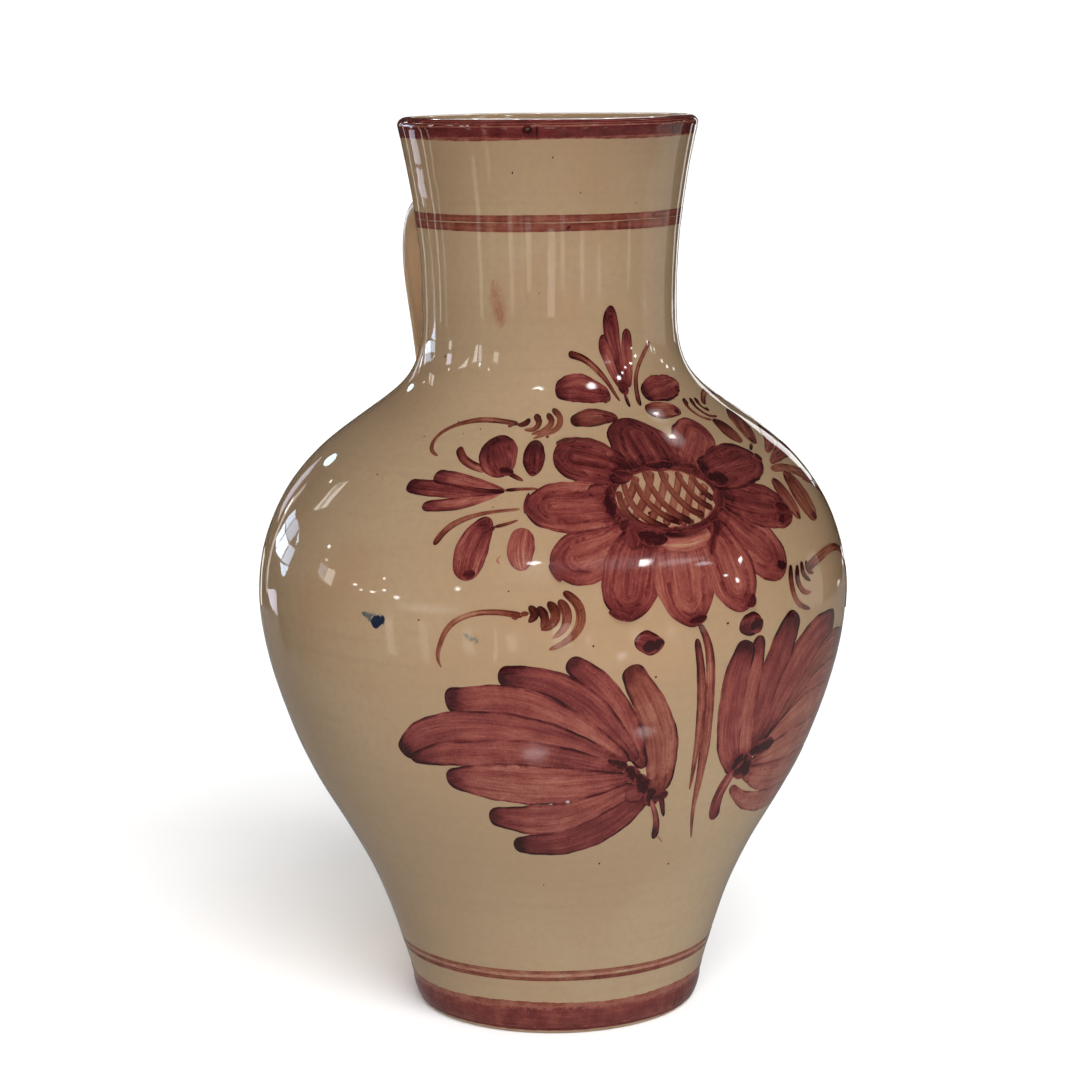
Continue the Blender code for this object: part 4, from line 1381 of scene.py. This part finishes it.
def shape(name, outline, strength, colour=WHITE, near=PANEL_DISTANCE):
    """A lamp whose reflection has the given outline on the glaze, as places around and up in millimetres."""
    rays = [mirrored(around, up) for around, up in outline]
    return softbox(name, [spot + toward * near for spot, toward in rays], strength, colour)


camera = make_camera()

BACKDROP_RADIUS = 8.5
BACKDROP_LIGHT = 1.05
ROOM_RADIUS = 6.0
ROOM_LIGHT = 0.03
PAPER_LIGHT = 0.22
WORLD_LIGHT = 0.05
ROOM_TINT = (1.0, 0.93, 0.85)
PAPER_TINT = (1.0, 0.97, 0.93)
PAPER_GREYS = (0.88, 0.88, 0.88, 1), (0.91, 0.91, 0.91, 1)

floor_material, tree = graph("pale_floor")
grain = noise(tree, node(tree, "TexCoord").outputs["Object"], 6.0, 2.0)
paper = mixed(tree, ranged(tree, grain, 0.3, 0.7), *PAPER_GREYS)
matt = node(tree, "BsdfDiffuse", {0: paper})
node(tree, "OutputMaterial", {0: matt.outputs[0]})
HALF_FLOOR = 9.0
FLOOR = rectangle(Vector(), Vector((HALF_FLOOR, 0, 0)), Vector((0, HALF_FLOOR, 0)))
floor = stage_mesh("floor", FLOOR, [(0, 1, 2, 3)], floor_material)
seen_only_by(floor, "camera")

backdrop = dome("backdrop", BACKDROP_RADIUS, shining("white_backdrop", WHITE, BACKDROP_LIGHT))
seen_only_by(backdrop, "camera")
room = dome("dim_room", ROOM_RADIUS, shining("dim_room", ROOM_TINT, ROOM_LIGHT))
seen_only_by(room, "glossy")

# The white sheet under the jug, which ends not far to the left and shows in the lower half of the glaze
SHEET = ((-0.27, -0.8), (0.9, -0.8), (0.9, 0.75), (-0.27, 0.75))
softbox("paper_sheet", [(x, y, -0.001) for x, y in SHEET], PAPER_LIGHT, PAPER_TINT)


def hidden(name, around, up, size=0.06, near=0.3):
    """A dark card close to the jug, which hides what would show at that place of the glaze."""
    spot, toward = mirrored(around, up)
    softbox(name, facing(spot + toward * near, toward, size, size), 0.0)


def middle_of(lamp):
    corners = [v.co for v in lamp.data.vertices]
    return sum(corners, Vector()) / len(corners)


def once_only(lamp, around, up, size=0.034, near=0.1):
    """Hides the lamp's other reflection, which shows near the given place of the glaze."""
    middle = middle_of(lamp)

    def match(place):
        spot, toward = mirrored(*place)
        return (middle - spot).normalized().dot(toward)

    place, step = (around, up), SEARCH_STEP
    while step > SLOPE_STEP:
        steps = [(a * step, b * step) for a in (-1, 0, 1) for b in (-1, 0, 1)]
        best = max([(place[0] + a, place[1] + b) for a, b in steps], key=match)
        step = step / 2 if match(best) <= match(place) else step
        place = max((place, best), key=match)
    hidden(lamp.name + "_card", *place, size, near)


def shaded(lamp, point):
    """Keeps the lamp from a point under the flared lip, from where it would show in the shoulder again."""
    middle = point + (middle_of(lamp) - point).normalized() * SHADE_NEAR
    card = rectangle(middle, Vector((SHADE_HALF, 0, 0)), Vector((0, SHADE_HALF, 0)))
    softbox(lamp.name + "_shade", card, 0.0)


# Lamps whose reflections show as spots on the front. A card hides each one's second reflection under the
# neck, and another lamp gives it a little lower
glint("lamp_left", -58, 168.5, 6.5, 2.4, 30)
glint("lamp_left_glow", -58, 167, 26, 12, 1.0)
glint("lamp_middle", -23, 168, 10.5, 2.6, 30)
glint("lamp_right", -1.1, 165.4, 8, 1.6, 7)
glint("lamp_dot", 6.2, 161.2, 2.0, 2.0, 26)
glint("lamp_dot_low", 10.2, 159.2, 2.0, 2.0, 26)
glint("lamp_row_glow", -24, 168, 80, 7, 1.0)
glint("lamp_row", -10, 167, 28, 2.2, 3.0)
for i, place in enumerate(((-58, 244), (-22, 244), (-2, 245), (7, 247))):
    hidden(f"card_upper_{i}", *place, 0.05)
upper_left = glint("upper_left", -59.4, 236.6, 10, 3.4, 26)
once_only(upper_left, -58, 188, 0.05, 0.08)
shaded(upper_left, Vector((-0.029, -0.037, 0.28)))
upper_middle = glint("upper_middle", -23.6, 237.2, 8.5, 3.8, 26)
once_only(upper_middle, -25, 188, 0.05, 0.08)
shaded(upper_middle, Vector((-0.002, -0.046, 0.283)))
once_only(glint("upper_right", -3.2, 239.5, 4.2, 2.4, 34), -5, 180, 0.036, 0.06)
glint("lamp_high", 10, 213, 4.6, 4, 17)
glint("lamp_high_glow", 10, 212.4, 16, 14, 2.2)
for i, place in enumerate(((0.5, 241), (4.5, 242.5), (9.5, 244), (15, 246))):
    glint(f"lamp_string_{i}", *place, 2.4, 1.3, 34)
hidden("card_string", 8, 171, 0.044, 0.1)
glint("table_glow_left", -58, 107, 13, 9, 3.0, near=0.1)
glint("table_glow_middle", -22, 113, 11, 7, 3.0, near=0.1)
glint("table_glow_right", -31, 139.5, 5, 3.6, 3.0, near=0.1)
glint("table_dot_left", -53.5, 86.5, 2.2, 1.6, 9, near=0.08)
glint("table_dot_right", -47, 88, 2.2, 1.6, 9, near=0.08)
SPARKS = (
    (-103, 156, 3.2, 1.6), (-108.5, 161.5, 1.6, 1.3), (-120, 158.5, 3.0, 1.1), (-117, 157, 2.4, 1.0),
    (-107.5, 157.8, 2.2, 1.3), (-112, 156.8, 4.0, 1.0), (-82, 160, 3.0, 1.7),
)
for i, spark in enumerate(SPARKS):
    glint(f"spark_left_{i}", *spark, 17, near=CLOSE)
glint("spark_left_glow", -92, 153.5, 34, 5, 1.6, near=CLOSE)

# A window behind the left shoulder, seen as a slanted patch of panes, and lesser things round it
SKY = (0.66, 0.8, 1.0)
PANES = (
    (((-176, 166.5), (-172.5, 163.6), (-168.6, 169.6), (-172.5, 172)), 6.5),
    (((-172.3, 172.5), (-168.4, 170.4), (-164.4, 174.8), (-168, 177.6)), 4.0),
    (((-168, 169.8), (-161.6, 167.2), (-157.6, 172.3), (-164, 174.6)), 3.0),
    (((-172, 163.2), (-164.8, 160.9), (-161.4, 166.6), (-167.8, 169.4)), 7.0),
    (((-164, 160.5), (-157.4, 159.7), (-155, 165.6), (-161, 166.6)), 4.0),
    (((-165, 159.8), (-159.5, 153.7), (-157, 159.2)), 5.5),
    (((-157.4, 172), (-155.4, 166.4), (-154.2, 168)), 5.0),
)
for i, (outline, level) in enumerate(PANES):
    shape(f"left_window_{i}", outline, level, SKY)
shape("left_curtain", ((-175, 149), (-163.5, 141.5), (-156, 146.5), (-166, 150.5)), 2.4, LILAC)
LEDGE = ((-153.6, 179.6), (-150.4, 180.2), (-145.6, 190.8), (-147.8, 189.4))
for i in range(3):
    outline = [(u + 2.3 * i, v + 0.5 * i) for u, v in LEDGE[: 4 if i else 3]]
    shape(f"left_ledge_{i}", outline, (3.5, 1.6, 4.0)[i], BEIGE)
shape("folded_cloth", ((-138.5, 160), (-134.7, 158.1), (-133.8, 162.5), (-137.5, 163.5)), 2.4, LILAC, CLOSE)
shape("folded_cloth_top", ((-134.4, 158), (-130.5, 156.5), (-129, 161.5), (-133.3, 162.4)), 4.4, BEIGE, CLOSE)
glint("left_dot", -135.5, 169, 2.2, 2.0, 16, near=CLOSE)
glint("left_dot_low", -135, 164.5, 1.8, 1.2, 9, near=CLOSE)
glint("left_fleck", -154, 190, 2.4, 2.6, 9, BEIGE)
corners = [k * TAU / 8 + 0.4 for k in range(8)]
shape("cyan_lamp", [(-169 + 4.6 * math.cos(k), 197.3 + 2.9 * math.sin(k)) for k in corners], 5, CYAN)
window("left_edge_glow", 176, 6, 5, 11, 1.2, LILAC)
window("left_edge_glint", -177, 6.5, 1.5, 4, 5)
window("left_floor_edge", 171, -10, 4, 8, 1.4, BEIGE)
window("left_shoulder_edge", 150, 26, 4, 30, 1.0, BEIGE)

# Bands of light that run down the neck
window("neck_gap", -176, 2, 2.4, 22, 1.2, BEIGE)
window("neck_line_a", -146, -12, 1.6, 18, 2.4, BEIGE)
window("neck_line_b", -137, -11, 1.2, 18, 1.8, BEIGE)
window("neck_line_c", -159, -10, 1.2, 20, 1.6, BEIGE)
window("neck_line_d", -52, -12, 0.9, 14, 1.6, BEIGE)
window("neck_side", 78, -8, 36, 26, 0.6, BEIGE)
window("neck_edge_band", 116, -12, 4, 26, 1.4, BEIGE)
window("neck_edge_line", 141, -12, 2, 26, 1.6)
hidden("card_lines", -155, 144, 0.11)
hidden("card_lines_near", -142, 143, 0.14)
for i in range(1, 11):
    shake = math.sin(i * 71.31 + 2) * 7341.7 % 1
    place = -112 + 15.5 * i + 8 * shake, -13 + 6 * shake
    window(f"neck_pane_{i}", *place, 2.5 + 4 * shake, 7 + 9 * (shake * 13 % 1), 1.0 + 1.2 * shake, BEIGE)
window("lip_light", 150, 42, 22, 30, 3.0)
LIP_SPARKS = ((139, 31), (142, 38), (144, 42), (148, 47), (152, 48), (155, 45), (159, 36), (162, 29))
for i, place in enumerate(LIP_SPARKS):
    window(f"lip_spark_{i}", *place, 0.8, 1.6, 40)

# Flecks at the neck's foot
FLECKS = (
    (((-138, 251.5), (-137, 248.5), (-134, 248.5), (-134.5, 251.5)), 5, BEIGE),
    (((-137.5, 247), (-137.5, 243.5), (-132.5, 243.5), (-133, 247)), 7, LILAC),
    (((-124, 242.5), (-116, 243.5), (-115.5, 246.4), (-119, 244.6)), 7, BEIGE),
    (((-111.5, 244.8), (-108, 245.2), (-107.8, 250.6), (-110, 250.6)), 7, WHITE),
    (((-107, 245.2), (-103.5, 245.5), (-104.2, 250.6), (-106.6, 250.6)), 5, WHITE),
    (((-94.5, 248.5), (-94.5, 245.5), (-91, 245), (-90.5, 248.5)), 5, BEIGE),
)
for i, (outline, level, colour) in enumerate(FLECKS):
    once_only(shape(f"neck_fleck_{i}", outline, level, colour), outline[0][0], 165)
once_only(glint("fleck_bright", -105, 244.4, 2.4, 2.0, 20), -105, 168)
once_only(glint("fleck_low", -133, 242, 2.4, 1.4, 12, BEIGE), -134, 174)
once_only(glint("fleck_right", -97, 243, 2.2, 1.6, 12, BEIGE), -98, 172)
glint("fleck_high", -76, 281.5, 2.6, 2.0, 7)
RIGHT_FLECKS = (
    (30, 263.5, 1.2, 9, 7), (30.5, 250, 2.4, 2.6, 16), (34, 247.5, 1.6, 3.6, 12), (43.5, 243.5, 3, 2.4, 10),
    (37.5, 247, 1.4, 4.0, 9), (48, 241.5, 3.4, 1.6, 12), (56, 240.4, 4, 2, 6), (72.5, 260, 3, 12, 3),
    (83.5, 253, 5, 9, 3),
)
for i, fleck in enumerate(RIGHT_FLECKS):
    once_only(glint(f"right_fleck_{i}", *fleck), fleck[0] + 4, 168)

# Lights behind the right shoulder
window("back_right", 130.5, 2, 6, 22, 1.8)
window("back_right_far", 146, -2, 3, 36, 1.0)

# Lamps that light the jug and don't show in the glaze, each by its azimuth, distance from the axis, height,
# size and power
jug_only = bpy.data.collections.new("jug_only")
for piece in JUG:
    jug_only.objects.link(piece)
MIDDLE = Vector((0, 0, 0.12))
LAMPS = {
    "high_front": (-43, 0.67, 1.22, 0.3, 7.5),
    "low_front": (-28, 0.45, 0.104, 0.16, 0.77),
    "back_left": (-170, 0.35, 0.146, 0.14, 1.37),
    "low_right": (44, 0.33, 0.031, 0.12, 0.233),
    "low_left": (-105, 0.34, -0.103, 0.12, 0.32),
    "floor_front": (-3, 0.32, -0.089, 0.12, 0.207),
    "high_right": (59, 0.79, 1.0, 0.3, 1.7),
}
for name, (azimuth, distance, height, size, power) in LAMPS.items():
    data = bpy.data.lights.new(name, "AREA")
    data.size = size
    data.energy = power
    lamp = placed(name, data)
    lamp.location = direction(azimuth * DEGREE, 0) * distance + Vector((0, 0, height))
    turned(lamp, (lamp.location - MIDDLE).to_track_quat("Z", "Y"))
    lamp.visible_glossy = False
    lamp.visible_camera = False
    lamp.light_linking.receiver_collection = jug_only

# The floor's own soft light, mostly from the front, casts the jug's shadow back and to the left
floor_only = bpy.data.collections.new("floor_only")
floor_only.objects.link(floor)
SUNS = {"floor_light": (-12, 32, 50, 4.6), "floor_sky": (20, 78, 150, 1.85)}
for name, (azimuth, elevation, spread, energy) in SUNS.items():
    sun = placed(name, bpy.data.lights.new(name, "SUN"))
    sun.data.energy = energy
    sun.data.angle = spread * DEGREE
    turned(sun, direction(azimuth * DEGREE, elevation * DEGREE).to_track_quat("Z", "Y"))
    sun.light_linking.receiver_collection = floor_only

world = bpy.data.worlds.new("studio")
bpy.context.scene.world = world
world.use_nodes = True
tree = world.node_tree
tree.nodes.clear()
sky = node(tree, "Background", {"Color": (1, 1, 1, 1), "Strength": WORLD_LIGHT})
node(tree, "OutputWorld", {0: sky.outputs[0]})
world.cycles_visibility.camera = False
world.cycles_visibility.glossy = False

scene = bpy.context.scene
scene.view_settings.view_transform = "Standard"
scene.view_settings.look = "None"
